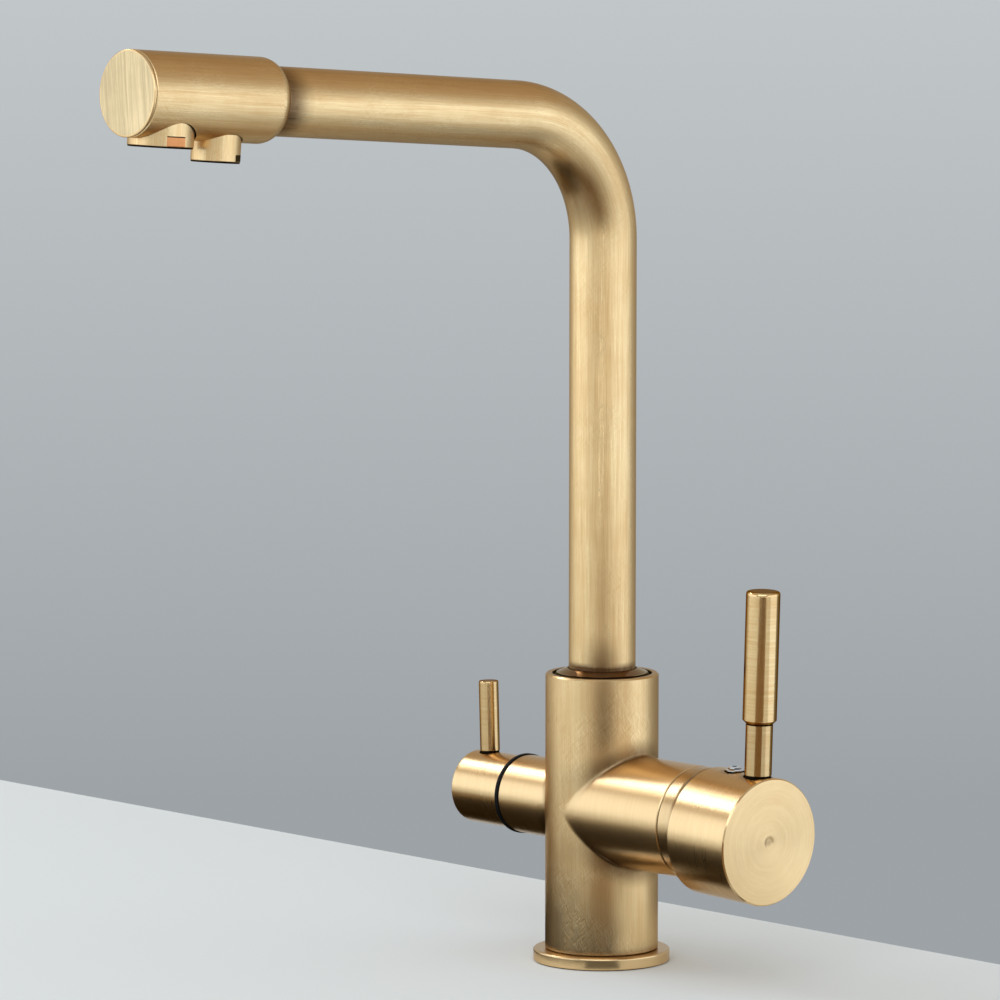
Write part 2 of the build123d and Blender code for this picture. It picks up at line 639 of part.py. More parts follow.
def indicator_button():
    """A small faceted plug over the grub screw: an eight-sided bead that narrows to its top."""
    foot = BARREL_R - BUTTON_SINK + FACE
    proud = BARREL_R + BUTTON_PROUD
    waist = (foot + proud) / 2
    base = Pos(0, 0, foot) * extrude(RegularPolygon(BUTTON_R, BUTTON_SIDES), waist - foot)
    wide = Pos(0, 0, waist) * RegularPolygon(BUTTON_R, BUTTON_SIDES)
    narrow = Pos(0, 0, proud) * RegularPolygon(BUTTON_TOP_R, BUTTON_SIDES)
    bead = base + loft([wide, narrow]) - rod(BUTTON_TOP_R / 2, proud - BUTTON_DIMPLE, proud)
    stem = rod(SCREW_R, foot - BUTTON_STEM_L, foot)
    return BARREL * Pos(0, 0, SCREW_PLACE) * UP_FROM_BARREL * (bead + stem)


def mixer_lever_rod():
    stud = rod(LEVER_STUD_R, LEVER_SEAT - LEVER_STUD_L, LEVER_SEAT)
    neck = rod(LEVER_ROD_R, LEVER_SEAT + FACE, GRIP_START)
    tail = rod(LEVER_STUD_R, GRIP_START, GRIP_START + GRIP_BORE_L)
    lever = stud + rod(LEVER_STUD_R, LEVER_SEAT, LEVER_SEAT + FACE) + neck + tail
    return BARREL * Pos(0, 0, LEVER_PLACE) * UP_FROM_BARREL * lever


def mixer_lever_grip():
    grip = rod(GRIP_R, GRIP_START + FACE, GRIP_TOP)
    grip = fillet(grip.edges().group_by(Axis.Z)[-1], GRIP_ROUND)
    grip = chamfer(grip.edges().group_by(Axis.Z)[0], GRIP_CHAMFER)
    grip -= rod(LEVER_STUD_R + FIT, GRIP_START + FACE, GRIP_START + GRIP_BORE_L + 1)
    return BARREL * Pos(0, 0, LEVER_PLACE) * UP_FROM_BARREL * grip


# ---- filter valve and handle ----
def filter_inlet_seal():
    return FILTER * tube(INLET_SEAL_R, PORT_R, VALVE_FLOOR, VALVE_FLOOR + INLET_SEAL_T)


def filter_fixed_disc():
    end = VALVE_DISC_START + VALVE_FIXED_T
    disc = rod(VALVE_DISC_R, VALVE_DISC_START, end)
    for side in (-1, 1):
        disc -= Pos(0, VALVE_HOLE_PLACE * side, 0) * rod(VALVE_HOLE_R, VALVE_DISC_START, end)
    return FILTER * disc


def filter_moving_disc():
    end = VALVE_MOVING_START + VALVE_MOVING_T
    disc = rod(VALVE_DISC_R - FIT, VALVE_MOVING_START, end)
    for side in (-1, 1):
        disc -= Pos(VALVE_HOLE_PLACE * side, 0, 0) * rod(VALVE_HOLE_R, VALVE_MOVING_START, end)
    return FILTER * disc


def filter_valve_body():
    """The headwork: a threaded tube with side windows, a hexagon and a bore for the spindle."""
    start = VALVE_FLOOR + FACE
    body = rod(VALVE_R, start, STUB_END) + hexagon(VALVE_HEX_FLATS, STUB_END, VALVE_HEX_END)
    body -= rod(VALVE_BORE_R, start, VALVE_CHAMBER_END)
    body -= rod(FILTER_SPINDLE_R + RUN / 2, VALVE_CHAMBER_END, VALVE_HEX_END)
    body -= block(2 * VALVE_R, WINDOW_W, *OUTLET_GROOVE)
    return FILTER * body


def filter_spindle():
    dog = rod(VALVE_DISC_R - 2 * FIT, DOG_START, DOG_START + DOG_T)
    dog &= block(2 * VALVE_DISC_R, DOG_FLAT, DOG_START, DOG_START + DOG_T)
    spindle = dog + rod(FILTER_SPINDLE_R, DOG_START + DOG_T, FILTER_SPINDLE_END)
    spindle -= tube(FILTER_SPINDLE_R, CLIP_GROOVE_R, CLIP_PLACE - FACE, CLIP_PLACE + CLIP_T + FACE)
    low = SPINDLE_RING_PLACE - SPINDLE_RING_GROOVE
    high = SPINDLE_RING_PLACE + SPINDLE_RING_GROOVE
    spindle -= tube(FILTER_SPINDLE_R, SPINDLE_RING_GROOVE_R, low, high)
    return FILTER * spindle


def filter_spindle_oring():
    section = (FILTER_SPINDLE_R - SPINDLE_RING_GROOVE_R) / 2
    return FILTER * ring(SPINDLE_RING_GROOVE_R + section + FIT / 2, section, SPINDLE_RING_PLACE)


def filter_spindle_clip():
    clip = tube(CLIP_R, CLIP_GROOVE_R + FIT, CLIP_PLACE, CLIP_PLACE + CLIP_T)
    return FILTER * (clip - Pos(0, CLIP_R / 2, 0) * block(CLIP_NOTCH, CLIP_R, CLIP_PLACE, CLIP_PLACE + CLIP_T))


def filter_gap_ring():
    gap_ring = tube(GAP_RING_R, GAP_RING_BORE, GAP_RING_START, GAP_RING_START + GAP_RING_T)
    outer_edges = gap_ring.edges().filter_by(GeomType.CIRCLE).sort_by(SortBy.RADIUS)[-2:]
    return FILTER * fillet(outer_edges, GAP_RING_ROUND)


def filter_barrel():
    barrel = rod(FILTER_BARREL_R, FILTER_BARREL_RIM, FILTER_BARREL_END)
    barrel = fillet(barrel.edges().group_by(Axis.Z)[-1], FILTER_BARREL_ROUND)
    barrel -= rod(FILTER_CAVITY_R, FILTER_BARREL_RIM, FILTER_CAVITY_END)
    barrel -= rod(FILTER_SPINDLE_R + FIT, FILTER_CAVITY_END, FILTER_SPINDLE_END + FACE)
    barrel -= Pos(0, 0, FILTER_ROD_PLACE) * UP_FROM_FILTER * rod(
        FILTER_ROD_R + FIT, FILTER_ROD_SEAT, FILTER_BARREL_R + 2
    )
    barrel -= filter_screw_way(FILTER_SCREW_R + FIT, 0, FILTER_BARREL_R + 1)
    return FILTER * barrel


def filter_screw_way(radius, start, end):
    """A hole or screw up from below, square to the filter's axis."""
    return Pos(0, 0, FILTER_SCREW_PLACE) * Rot(0, -90, 0) * rod(radius, start, end)


def filter_lever_rod():
    lever = rod(FILTER_ROD_R, FILTER_ROD_SEAT + FACE, FILTER_ROD_TOP)
    lever = fillet(lever.edges().group_by(Axis.Z)[-1], FILTER_ROD_ROUND)
    return FILTER * Pos(0, 0, FILTER_ROD_PLACE) * UP_FROM_FILTER * lever


def filter_grub_screw():
    start = FILTER_SPINDLE_R + FACE
    screw = filter_screw_way(FILTER_SCREW_R, start, start + FILTER_SCREW_L)
    key = hexagon(FILTER_SCREW_R, start + FILTER_SCREW_L - KEY_DEPTH, start + FILTER_SCREW_L)
    return FILTER * (screw - Pos(0, 0, FILTER_SCREW_PLACE) * Rot(0, -90, 0) * key)


# ---- spout foot ----
def spout_spigot():
    """The tube that turns in the column, with two O-ring grooves and a groove for the snap ring."""
    spigot = rod(SPIGOT_R, SPIGOT_BOTTOM, PIPE_FOOT) + rod(SPIGOT_NECK_R, PIPE_FOOT, SPIGOT_TOP)
    spigot -= rod(SPIGOT_BORE_R, SPIGOT_BOTTOM, SPIGOT_TOP)
    for place in ORING_PLACES:
        spigot -= tube(SPIGOT_R, ORING_GROOVE_R, place - ORING_R - FIT, place + ORING_R + FIT)
    return spigot - tube(SPIGOT_R, SNAP_IN - FIT, SNAP_PLACE - FACE, SNAP_PLACE + SNAP_T + FACE)


def spigot_orings():
    return Compound([ring(ORING_GROOVE_R + ORING_R + FIT / 2, ORING_R, place) for place in ORING_PLACES])


def spout_snap_ring():
    snap = tube(SNAP_OUT, SNAP_IN, SNAP_PLACE, SNAP_PLACE + SNAP_T)
    return snap - Pos(0, SNAP_OUT, 0) * block(SNAP_NOTCH, SNAP_OUT, SNAP_PLACE, SNAP_PLACE + SNAP_T)


def spout_collar():
    """The dished ring that closes the column's mouth round the pipe."""
    inner = PIPE_R + FIT
    return turned(
        (SPIGOT_R + FIT, COLLAR_BOTTOM),
        (COLLAR_R, COLLAR_BOTTOM),
        (COLLAR_R, COLLAR_EDGE_Z),
        (COLLAR_R - COLLAR_EDGE, COLLAR_EDGE_Z + COLLAR_EDGE / 2),
        (inner + COLLAR_EDGE, COLLAR_TOP_Z),
        (inner, COLLAR_TOP_Z),
        (inner, PIPE_FOOT + FACE),
        (SPIGOT_R + FIT, PIPE_FOOT + FACE),
    )


def spout_pipe():
    return bent_rod(PIPE_R, PIPE_FOOT + FACE, PIPE_END) - bent_rod(PIPE_R - PIPE_WALL, PIPE_FOOT, PIPE_END + 1)


def inner_filter_tube():
    end = ELBOW_START + ELBOW_SOCKET_L
    return bent_rod(TUBE_R, TUBE_FOOT, end - FACE) - bent_rod(TUBE_BORE_R, TUBE_FOOT - 1, end)


def tube_nipple():
    """The brass tail that carries filtered water from the column into the inner tube."""
    collar = BOSS_TOP + SWING
    nipple = rod(NIPPLE_R, NIPPLE_BOTTOM, collar) + rod(NIPPLE_COLLAR_R, collar, collar + NIPPLE_COLLAR_T)
    nipple += rod(TUBE_BORE_R - FIT, collar, NIPPLE_BARB_TOP)
    nipple -= rod(NIPPLE_BORE_R, NIPPLE_BOTTOM, NIPPLE_BARB_TOP)
    half = NIPPLE_R - NIPPLE_RING_GROOVE_R
    return nipple - tube(NIPPLE_R, NIPPLE_RING_GROOVE_R, NIPPLE_RING_PLACE - half, NIPPLE_RING_PLACE + half)


def nipple_oring():
    section = (NIPPLE_R - NIPPLE_RING_GROOVE_R) / 2
    return ring(NIPPLE_RING_GROOVE_R + section + FIT / 2, section, NIPPLE_RING_PLACE)


# ---- spout head ----
def spout_head():
    head = rod(HEAD_R, HEAD_BACK, HEAD_FRONT)
    head = fillet(head.edges().group_by(Axis.Z)[0], HEAD_SHOULDER)
    head -= rod(PIPE_R + FIT, HEAD_BACK, SOCKET_END)
    head -= rod(CHANNEL_R, SOCKET_END, CHANNEL_END)
    head -= rod(CAP_SPIGOT_R + FIT, HEAD_FRONT - CAP_SPIGOT_L - FACE, HEAD_FRONT)
    groove = 2 * HEAD_RING_R
    head -= tube(HEAD_RING_GROOVE_R, PIPE_R, HEAD_RING_PLACE - groove, HEAD_RING_PLACE + groove)
    head = ARM * head
    main, filtered = nozzle(MAIN_PLACE), nozzle(FILTER_PLACE)
    head -= main * rod(MAIN_POCKET_R, MAIN_CEILING, HEAD_R + 1)
    head -= main * rod(MAIN_SOCKET_R + FIT, MAIN_SOCKET_TOP, MAIN_CEILING)
    head -= main * rod(MAIN_PORT_R, 0, MAIN_SOCKET_TOP)
    head -= filtered * rod(FILTER_POCKET_R, FILTER_CEILING, HEAD_R + 1)
    head -= filtered * rod(FILTER_SOCKET_R + FIT, FILTER_SOCKET_TOP, FILTER_CEILING)
    head -= filtered * rod(ELBOW_LEG_R + FIT, 0, FILTER_SOCKET_TOP)
    return head - nozzle(HEAD_SCREW_PLACE) * rod(HEAD_SCREW_R + FIT, PIPE_R, HEAD_R + 1)


def head_end_cap():
    cap = rod(HEAD_R, HEAD_FRONT + FACE, CAP_FACE)
    cap = chamfer(cap.edges().group_by(Axis.Z)[-1], CAP_CHAMFER)
    return ARM * (cap + rod(CAP_SPIGOT_R, HEAD_FRONT - CAP_SPIGOT_L, HEAD_FRONT + FACE))


def head_seal():
    return ARM * ring(PIPE_R + FIT / 2 + HEAD_RING_R, HEAD_RING_R, HEAD_RING_PLACE)


def head_grub_screw():
    start, end = PIPE_R + FACE, HEAD_R - HEAD_SCREW_RECESS
    screw = rod(HEAD_SCREW_R, start, end) - hexagon(HEAD_SCREW_R, (start + end) / 2, end)
    return nozzle(HEAD_SCREW_PLACE) * screw


def filter_outlet_elbow():
    """Turns the filtered water from the inner tube down into its own nozzle."""
    body = ARM * rod(ELBOW_R, ELBOW_START, FILTER_PLACE + ELBOW_TAIL)
    body += nozzle(FILTER_PLACE) * rod(ELBOW_LEG_R, 0, FILTER_SOCKET_TOP - FACE)
    body -= ARM * rod(TUBE_R + FIT, ELBOW_START, ELBOW_START + ELBOW_SOCKET_L)
    body -= ARM * rod(ELBOW_BORE_R, ELBOW_START, FILTER_PLACE)
    return body - nozzle(FILTER_PLACE) * rod(ELBOW_BORE_R, 0, FILTER_SOCKET_TOP)


def nozzle_housing(place, outer, thread, ceiling, top, bottom, bore, turn):
    """A nozzle shell: a threaded neck, a wider skirt and two spanner flats near its lower edge."""
    skirt_top = ceiling + SWING
    neck_top = top + WASHER_T + 2 * FACE
    housing = rod(outer, skirt_top, bottom) + rod(thread, neck_top, skirt_top)
    housing = chamfer(housing.edges().group_by(Axis.Z)[-1], NOZZLE_CHAMFER)
    housing -= rod(bore, neck_top + NOZZLE_LIP, bottom)
    housing -= rod(bore - NOZZLE_LIP, neck_top, bottom)
    for side in (0, 180):
        cut = Pos(outer, 0, 0) * block(2 * FLAT_DEPTH, 2 * outer, bottom - FLAT_HEIGHT, bottom + 1)
        housing -= Rot(0, 0, turn + side) * cut
    return nozzle(place) * housing


def nozzle_insert(place, bore, top, bottom):
    """The stream straightener: a disc with jets in a hexagonal pattern."""
    start = top + WASHER_T + 2 * FACE + NOZZLE_LIP + FACE
    end = bottom - INSERT_RECESS
    insert = rod(bore - FIT, start, end)
    steps = int((bore - FIT) / JET_PITCH)
    for row in range(-steps, steps + 1):
        for column in range(-steps, steps + 1):
            x = JET_PITCH * (column + row / 2)
            y = JET_PITCH * row * math.sqrt(3) / 2
            if math.hypot(x, y) + JET_R < bore - JET_MARGIN:
                insert -= Pos(x, y, 0) * rod(JET_R, start, end)
    return nozzle(place) * insert


def nozzle_gasket(place, outer, inner, top):
    return nozzle(place) * tube(outer, inner, top + FACE, top + FACE + WASHER_T)


def main_aerator_housing():
    return nozzle_housing(
        MAIN_PLACE,
        MAIN_R,
        MAIN_SOCKET_R,
        MAIN_CEILING,
        MAIN_SOCKET_TOP,
        MAIN_BOTTOM,
        MAIN_BORE_R,
        MAIN_FLAT_TURN,
    )


def main_aerator_insert():
    return nozzle_insert(MAIN_PLACE, MAIN_BORE_R, MAIN_SOCKET_TOP, MAIN_BOTTOM)


def main_aerator_gasket():
    return nozzle_gasket(MAIN_PLACE, MAIN_SOCKET_R - FIT, MAIN_PORT_R, MAIN_SOCKET_TOP)


def filter_nozzle_housing():
    return nozzle_housing(
        FILTER_PLACE,
        FILTER_R,
        FILTER_SOCKET_R,
        FILTER_CEILING,
        FILTER_SOCKET_TOP,
        FILTER_BOTTOM,
        FILTER_BORE_R,
        FILTER_FLAT_TURN,
    )


def filter_nozzle_insert():
    return nozzle_insert(FILTER_PLACE, FILTER_BORE_R, FILTER_SOCKET_TOP, FILTER_BOTTOM)


def filter_nozzle_gasket():
    return nozzle_gasket(FILTER_PLACE, FILTER_SOCKET_R - FIT, ELBOW_BORE_R, FILTER_SOCKET_TOP)


PIECES = [
    deck_gasket,
    base_flange,
    body_casting,
    threaded_shank,
    clamp_rubber_washer,
    clamp_steel_washer,
    clamp_nut,
    spout_wear_ring,
    cartridge_base,
    cartridge_seals,
    fixed_ceramic_disc,
    cartridge_shell,
    cartridge_nut,
    dome_ring,
    moving_ceramic_disc,
    disc_carrier,
    cartridge_turret,
    turret_pin,
    lever_spindle,
    mixer_barrel,
    mixer_grub_screw,
    indicator_button,
    mixer_lever_rod,
    mixer_lever_grip,
    filter_inlet_seal,
    filter_fixed_disc,
    filter_moving_disc,
    filter_valve_body,
    filter_spindle,
    filter_spindle_oring,
    filter_spindle_clip,
    filter_gap_ring,
    filter_barrel,
    filter_lever_rod,
    filter_grub_screw,
    spout_spigot,
    spigot_orings,
    spout_snap_ring,
    spout_collar,
    spout_pipe,
    inner_filter_tube,
    tube_nipple,
    nipple_oring,
    spout_head,
    head_end_cap,
    head_seal,
    head_grub_screw,
    filter_outlet_elbow,
    main_aerator_housing,
    main_aerator_insert,
    main_aerator_gasket,
    filter_nozzle_housing,
    filter_nozzle_insert,
    filter_nozzle_gasket,
]

os.makedirs("parts", exist_ok=True)
for piece in PIECES:
    shape = piece()
    export_step(shape, f"parts/{piece.__name__}.step")
    print(piece.__name__, "solids", len(shape.solids()), "volume", round(shape.volume, 1))
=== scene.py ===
import json
import math
from functools import partial

import bmesh
import bpy
import numpy as np
from bpy.props import FloatProperty, FloatVectorProperty, IntProperty, PointerProperty
from mathutils import Matrix, Vector
from mathutils.geometry import delaunay_2d_cdt


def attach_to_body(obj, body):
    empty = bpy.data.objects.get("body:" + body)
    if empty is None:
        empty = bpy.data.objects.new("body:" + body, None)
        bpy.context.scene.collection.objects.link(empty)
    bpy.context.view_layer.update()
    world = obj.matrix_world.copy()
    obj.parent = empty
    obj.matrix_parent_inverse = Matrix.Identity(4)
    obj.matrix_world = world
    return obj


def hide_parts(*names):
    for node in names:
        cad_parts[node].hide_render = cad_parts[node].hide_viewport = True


bl_info = {
    "name": "Three Way Kitchen Tap",
    "version": (1, 0, 0),
    "blender": (4, 5, 0),
    "location": "View3D > Sidebar > Tap",
    "description": "Builds the looks of a brushed gold three way kitchen tap round its CAD frame",
    "category": "Object",
}

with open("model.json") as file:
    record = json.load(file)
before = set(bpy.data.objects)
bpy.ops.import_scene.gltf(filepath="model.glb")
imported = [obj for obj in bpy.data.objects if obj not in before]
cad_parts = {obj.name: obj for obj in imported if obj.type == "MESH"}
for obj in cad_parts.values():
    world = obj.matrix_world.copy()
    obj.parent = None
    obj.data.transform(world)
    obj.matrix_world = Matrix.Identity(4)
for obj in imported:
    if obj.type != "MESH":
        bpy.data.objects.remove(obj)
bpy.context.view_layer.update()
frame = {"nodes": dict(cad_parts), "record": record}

# ---- sizes of the tap, in millimetres, in the frame of the CAD part ----
MM = 0.001
TURN = 2 * math.pi
FIT = 0.05
STREAK = 0.02

# column, flange and the clamping set
COLUMN_R = 21.5
COLUMN_FOOT = 5.0
COLUMN_TOP = 110.5
MOUTH_R = 18.7
MOUTH_CHAMFER = 0.3
TOP_CHAMFER = 0.6
FOOT_R = 19.0
FOOT_LIFT = 0.9
SHANK_SEAT_R = 16.55
WEB_Z = 30.0
INLET_R = 4.5
INLET_PITCH_R = 7.5
AXIS_Z = 59.1
BRANCH_LOW = 25.1
BRANCH_HIGH = 93.1
HOUSING_R = 21.4
HOUSING_END = 52.8
STUB_R = 15.0
STUB_END = 42.3
FLANGE_R = 26.0
FLANGE_LOW = 0.4
FLANGE_TOP = 4.8
GASKET_INNER_R = 19.9
GASKET_OUTER_R = 24.9
GASKET_TOP = 1.9
GROOVE_INNER_R = 19.85
GROOVE_OUTER_R = 24.95
GROOVE_TOP = 1.95
WASHER_R = 24.0
SHANK_R = 16.5
SHANK_BORE_R = 13.5
SHANK_TOP = 14.0
SHANK_BOTTOM = -52.0
SHANK_PILOT = -42.0
THREAD_DEPTH = 0.75
PILOT_DEPTH = 0.9
NUT_LOW = -41.0
NUT_TOP = -29.0
NUT_FLAT = 22.0
NUT_CHAMFER_R = 22.2
NUT_ROW_R = 25.4
TAN_60 = 1.732

# mixer handle, along its own axis
RING_BORE_R = 19.15
RING_BACK = 52.95
DOME_R = 21.8
DOME_END = 66.0
DOME_WALL = 1.8
PIVOT_X = 55.0
HANDLE_DROOP = math.radians(2.0)
BARREL_DROP = 1.6
BARREL_R = 24.0
BARREL_BORE_R = 23.0
BARREL_RIM = 6.3
BARREL_FACE = 36.5
BARREL_EDGE = 0.5
DIMPLE_R = 2.3
DIMPLE = 0.25
HUB_R = 8.0
BUTTON_PLACE = 16.8
BUTTON_SEAT_R = 3.8
BUTTON_SEAT = 22.7
PLUG_STEM_R = 1.9
LEVER_PLACE = 29.4
LEVER_ROD_R = 5.1
LEVER_HOLE_R = LEVER_ROD_R + 0.4
LEVER_SEAT = 23.2
LEVER_STUD = 13.2
STUD_R = 3.0
GRIP_R = 6.4
GRIP_START = 43.95
GRIP_TOP = 93.5

# filter handle, along its own axis
FILTER_BARREL_R = 14.0
FILTER_BARREL_RIM = 44.4
FILTER_BARREL_END = 70.7
FILTER_BARREL_EDGE = 0.8
FILTER_ROD_PLACE = 63.1
FILTER_ROD_LEAN = math.radians(2.0)
FILTER_ROD_R = 3.8
FILTER_HOLE_R = FILTER_ROD_R + 0.4
FILTER_ROD_SEAT = 5.6
FILTER_ROD_TOP = 41.7
FILTER_SCREW_PLACE = 56.0
FILTER_SCREW_R = 2.05
FILTER_SCREW_DEPTH = 4.1

# spout: the collar, the bent pipe, and the head with its two nozzles
COLLAR_R = 18.0
COLLAR_FOOT = 105.05
PIPE_R = 12.7
PIPE_WALL = 1.2
PIPE_FOOT = 106.05
BEND_R = 49.0
ARM_Z = 320.5
ARM_RISE = math.radians(4.5)
PIPE_END = 177.5
HEAD_R = 15.7
HEAD_SHOULDER = 6.0
HEAD_STRAIGHT = 170.6
HEAD_FRONT = 229.4
CAP_FACE = 230.8
MAIN_PLACE = 214.2
MAIN_POCKET_R = 12.6
FILTER_PLACE = 188.4
FILTER_POCKET_R = 9.4

# steps inside the pieces, as (radius, height) corners
MOUTH_STEPS = (
    (MOUTH_R, 104.0), (14.6, 104.0), (14.6, 84.0), (6.5, 84.0), (6.5, 92.0), (4.05, 92.0), (4.05, 79.0),
    (0, 79.0),
)
INLET_STEPS = ((INLET_R, WEB_Z), (INLET_R, 39.0), (3.2, 39.0), (3.2, 50.0), (0, 50.0))
CARTRIDGE_STEPS = ((19.15, HOUSING_END), (19.15, 49.0), (17.45, 49.0), (17.45, 27.0), (0, 27.0))
VALVE_STEPS = ((9.95, STUB_END), (9.95, 16.0), (0, 16.0))
BARREL_STEPS = ((BARREL_BORE_R, BARREL_RIM), (BARREL_BORE_R, 33.5), (HUB_R, 33.5), (HUB_R, 13.0), (0, 13.0))
FILTER_BARREL_STEPS = ((12.2, FILTER_BARREL_RIM), (12.2, 50.5), (4.05, 50.5), (4.05, 61.05), (0, 61.05))
MAIN_POCKET_STEPS = ((MAIN_POCKET_R, 9.0), (10.95, 9.0), (10.95, 6.3), (0, 6.3))
FILTER_POCKET_STEPS = ((FILTER_POCKET_R, 12.3), (7.55, 12.3), (7.55, 8.0), (0, 8.0))

# tones of the painted shade, with some patina, and of the edges painted brown as shade; the place on the bend
# where the shade is strongest
SHADE_AND_PATINA = (0.11, 0.055, 0.022)
EDGE_SHADE_BROWN = (0.40, 0.235, 0.10)
BEND_SHADE_PLACE = (0.0, -7.5, 298.0)

# the camera, in metres, as fitted to the photograph's view
CAMERA_AZIMUTH = math.radians(48.01)
CAMERA_ELEVATION = math.radians(6.474)
CAMERA_ROLL = math.radians(0.041)
CAMERA_DISTANCE = 2.6495
CAMERA_LENS = 252.0
TARGET_RIGHT = -0.038797
TARGET_Z = 0.176282

# the stage, in metres, and the heights on the sky where the wall's tones change
FLOOR_BOX = ((-2.4, -3.2), (2.4, 0.1055))
FLOOR_HOLE_R = 0.0175
LOW_WALL_EDGE = (-0.155, -0.042)
CEILING_EDGE = (0.3, 0.6)
HIGH_WALL_EDGE = (0.74, 0.88)


# ---- where each turned or bent piece sits: an origin and three square unit axes ----


def axes(origin, along, side):
    """An origin and the unit axes side, along x side and along, as rows."""
    along = np.array(along, float) / np.linalg.norm(along)
    side = np.array(side, float) - along * (along @ np.array(side, float))
    side = side / np.linalg.norm(side)
    return np.array(origin, float), np.stack([side, np.cross(along, side), along])


ARM_ALONG = np.array([0.0, -math.cos(ARM_RISE), math.sin(ARM_RISE)])
ARM_DOWN = np.array([0.0, -math.sin(ARM_RISE), -math.cos(ARM_RISE)])
BARREL_ALONG = np.array([math.cos(HANDLE_DROOP), 0.0, -math.sin(HANDLE_DROOP)])
BARREL_UP = np.array([math.sin(HANDLE_DROOP), 0.0, math.cos(HANDLE_DROOP)])
BARREL_ORIGIN = np.array([PIVOT_X, 0.0, AXIS_Z]) - BARREL_DROP * BARREL_UP
FILTER_ROD_UP = (-math.sin(FILTER_ROD_LEAN), 0, math.cos(FILTER_ROD_LEAN))
UPRIGHT = axes((0, 0, 0), (0, 0, 1), (1, 0, 0))
MIXER = axes((0, 0, AXIS_Z), (1, 0, 0), (0, 0, 1))
FILTER = axes((0, 0, AXIS_Z), (-1, 0, 0), (0, 0, 1))
BARREL = axes(BARREL_ORIGIN, BARREL_ALONG, BARREL_UP)
MIXER_LEVER = axes(BARREL_ORIGIN + LEVER_PLACE * BARREL_ALONG, BARREL_UP, BARREL_ALONG)
PLUG = axes(BARREL_ORIGIN + BUTTON_PLACE * BARREL_ALONG, BARREL_UP, BARREL_ALONG)
FILTER_LEVER = axes((-FILTER_ROD_PLACE, 0, AXIS_Z), FILTER_ROD_UP, (1, 0, 0))
ARM = axes((0, 0, ARM_Z), ARM_ALONG, ARM_DOWN)
MAIN_NOZZLE = axes(ARM[0] + MAIN_PLACE * ARM_ALONG, ARM_DOWN, (1, 0, 0))
FILTER_NOZZLE = axes(ARM[0] + FILTER_PLACE * ARM_ALONG, ARM_DOWN, (1, 0, 0))


# ---- surfaces ----


def joined(*parts):
    """Coordinates side by side on a new last axis, each repeated over the same grid."""
    return np.stack(np.broadcast_arrays(*parts), -1)


def run_lengths(points):
    """How far each point of a line lies along it: the sum of the distances before it."""
    return np.concatenate([[0], np.cumsum(np.linalg.norm(np.diff(points, axis=0), axis=1))])


def spans(stops, counts):
    """Each stretch between two stops, as (start, end, number of faces)."""
    return list(zip(stops[:-1], stops[1:], counts))


def near(distance, reach):
    """1 at a corner, falling smoothly to 0 at the given distance from it: 3 t^2 - 2 t^3."""
    t = np.clip(1 - np.abs(distance) / reach, 0, 1)
    return t * t * (3 - 2 * t)


def outline(*corners, steps=5, hold=0.2):
    """A half section through (radius, height, rounding) corners.

    A rounded corner is the parabola from a point before it to a point after it, with the corner as its
    control point. Straight runs get a point near each end, so that their shading stays flat.
    """
    points = np.array([corner[:2] for corner in corners], float)
    cut = [corner[2] if len(corner) > 2 else 0.0 for corner in corners]
    runs = []
    for i, point in enumerate(points):
        if 0 < i < len(points) - 1 and cut[i] > 0:
            before = points[i - 1] - point
            after = points[i + 1] - point
            start = point + before / np.linalg.norm(before) * cut[i]
            end = point + after / np.linalg.norm(after) * cut[i]
            t = np.linspace(0, 1, steps + 1)[:, None]
            runs.append((1 - t) ** 2 * start + 2 * t * (1 - t) * point + t**2 * end)
        else:
            runs.append(point[None, :])
    rows = [runs[0]]
    for before, after in zip(runs[:-1], runs[1:]):
        start, end = before[-1], after[0]
        length = np.linalg.norm(end - start)
        if length > 4 * hold:
            share = hold / length
            rows.append(np.stack([start + (end - start) * share, end + (start - end) * share]))
        rows.append(after)
    return np.concatenate(rows)


def washer_outline(inner_r, outer_r, low, high, rounding=0.0):
    """The closed half section of a flat ring, with its two outer edges rounded."""
    outer = (outer_r, low, rounding), (outer_r, high, rounding)
    return outline((inner_r, low), *outer, (inner_r, high), (inner_r, low))


def patch_of(points, grain, uv, finish=0):
    """A patch: points, the brushing's own coordinates, a UV map, and its share of painted shade and patina,
    none at first.
    """
    patina = np.zeros(points.shape[:-1])
    return {"points": points, "grain": grain, "uv": uv, "patina": patina, "finish": finish}


def dressed(place, local, around, along, radius, brush="round", lean=0.0, finish=0):
    """A patch put in place: origin + local coordinates x axes. Its UV map's u runs across the lines.

    The brushing's coordinates are lengths in millimetres, shrunk along the brushing so that noise read
    from them draws long thin streaks: round a turned piece, along a drawn one, or straight over a face.
    """
    origin, basis = place
    if brush == "round":
        grain = joined(np.cos(around) * radius * STREAK, np.sin(around) * radius * STREAK, along)
        uv = joined(along, around * radius)
    elif brush == "long":
        grain = joined(local[..., 0], local[..., 1], along * STREAK)
        uv = joined(around * radius, along)
    else:
        down = local[..., 0] * math.cos(lean) + local[..., 1] * math.sin(lean)
        across = local[..., 1] * math.cos(lean) - local[..., 0] * math.sin(lean)
        grain = joined(across, down * STREAK, local[..., 2])
        uv = joined(across, down)
    return patch_of(origin + local @ basis, grain, uv, finish)


def darkened(patch, amount):
    """The same patch with its share of the dark tone painted as shade, with some patina, in corners, from 0 to
    1 at each point.
    """
    patch["patina"] = amount * np.ones(patch["points"].shape[:2])
    return patch


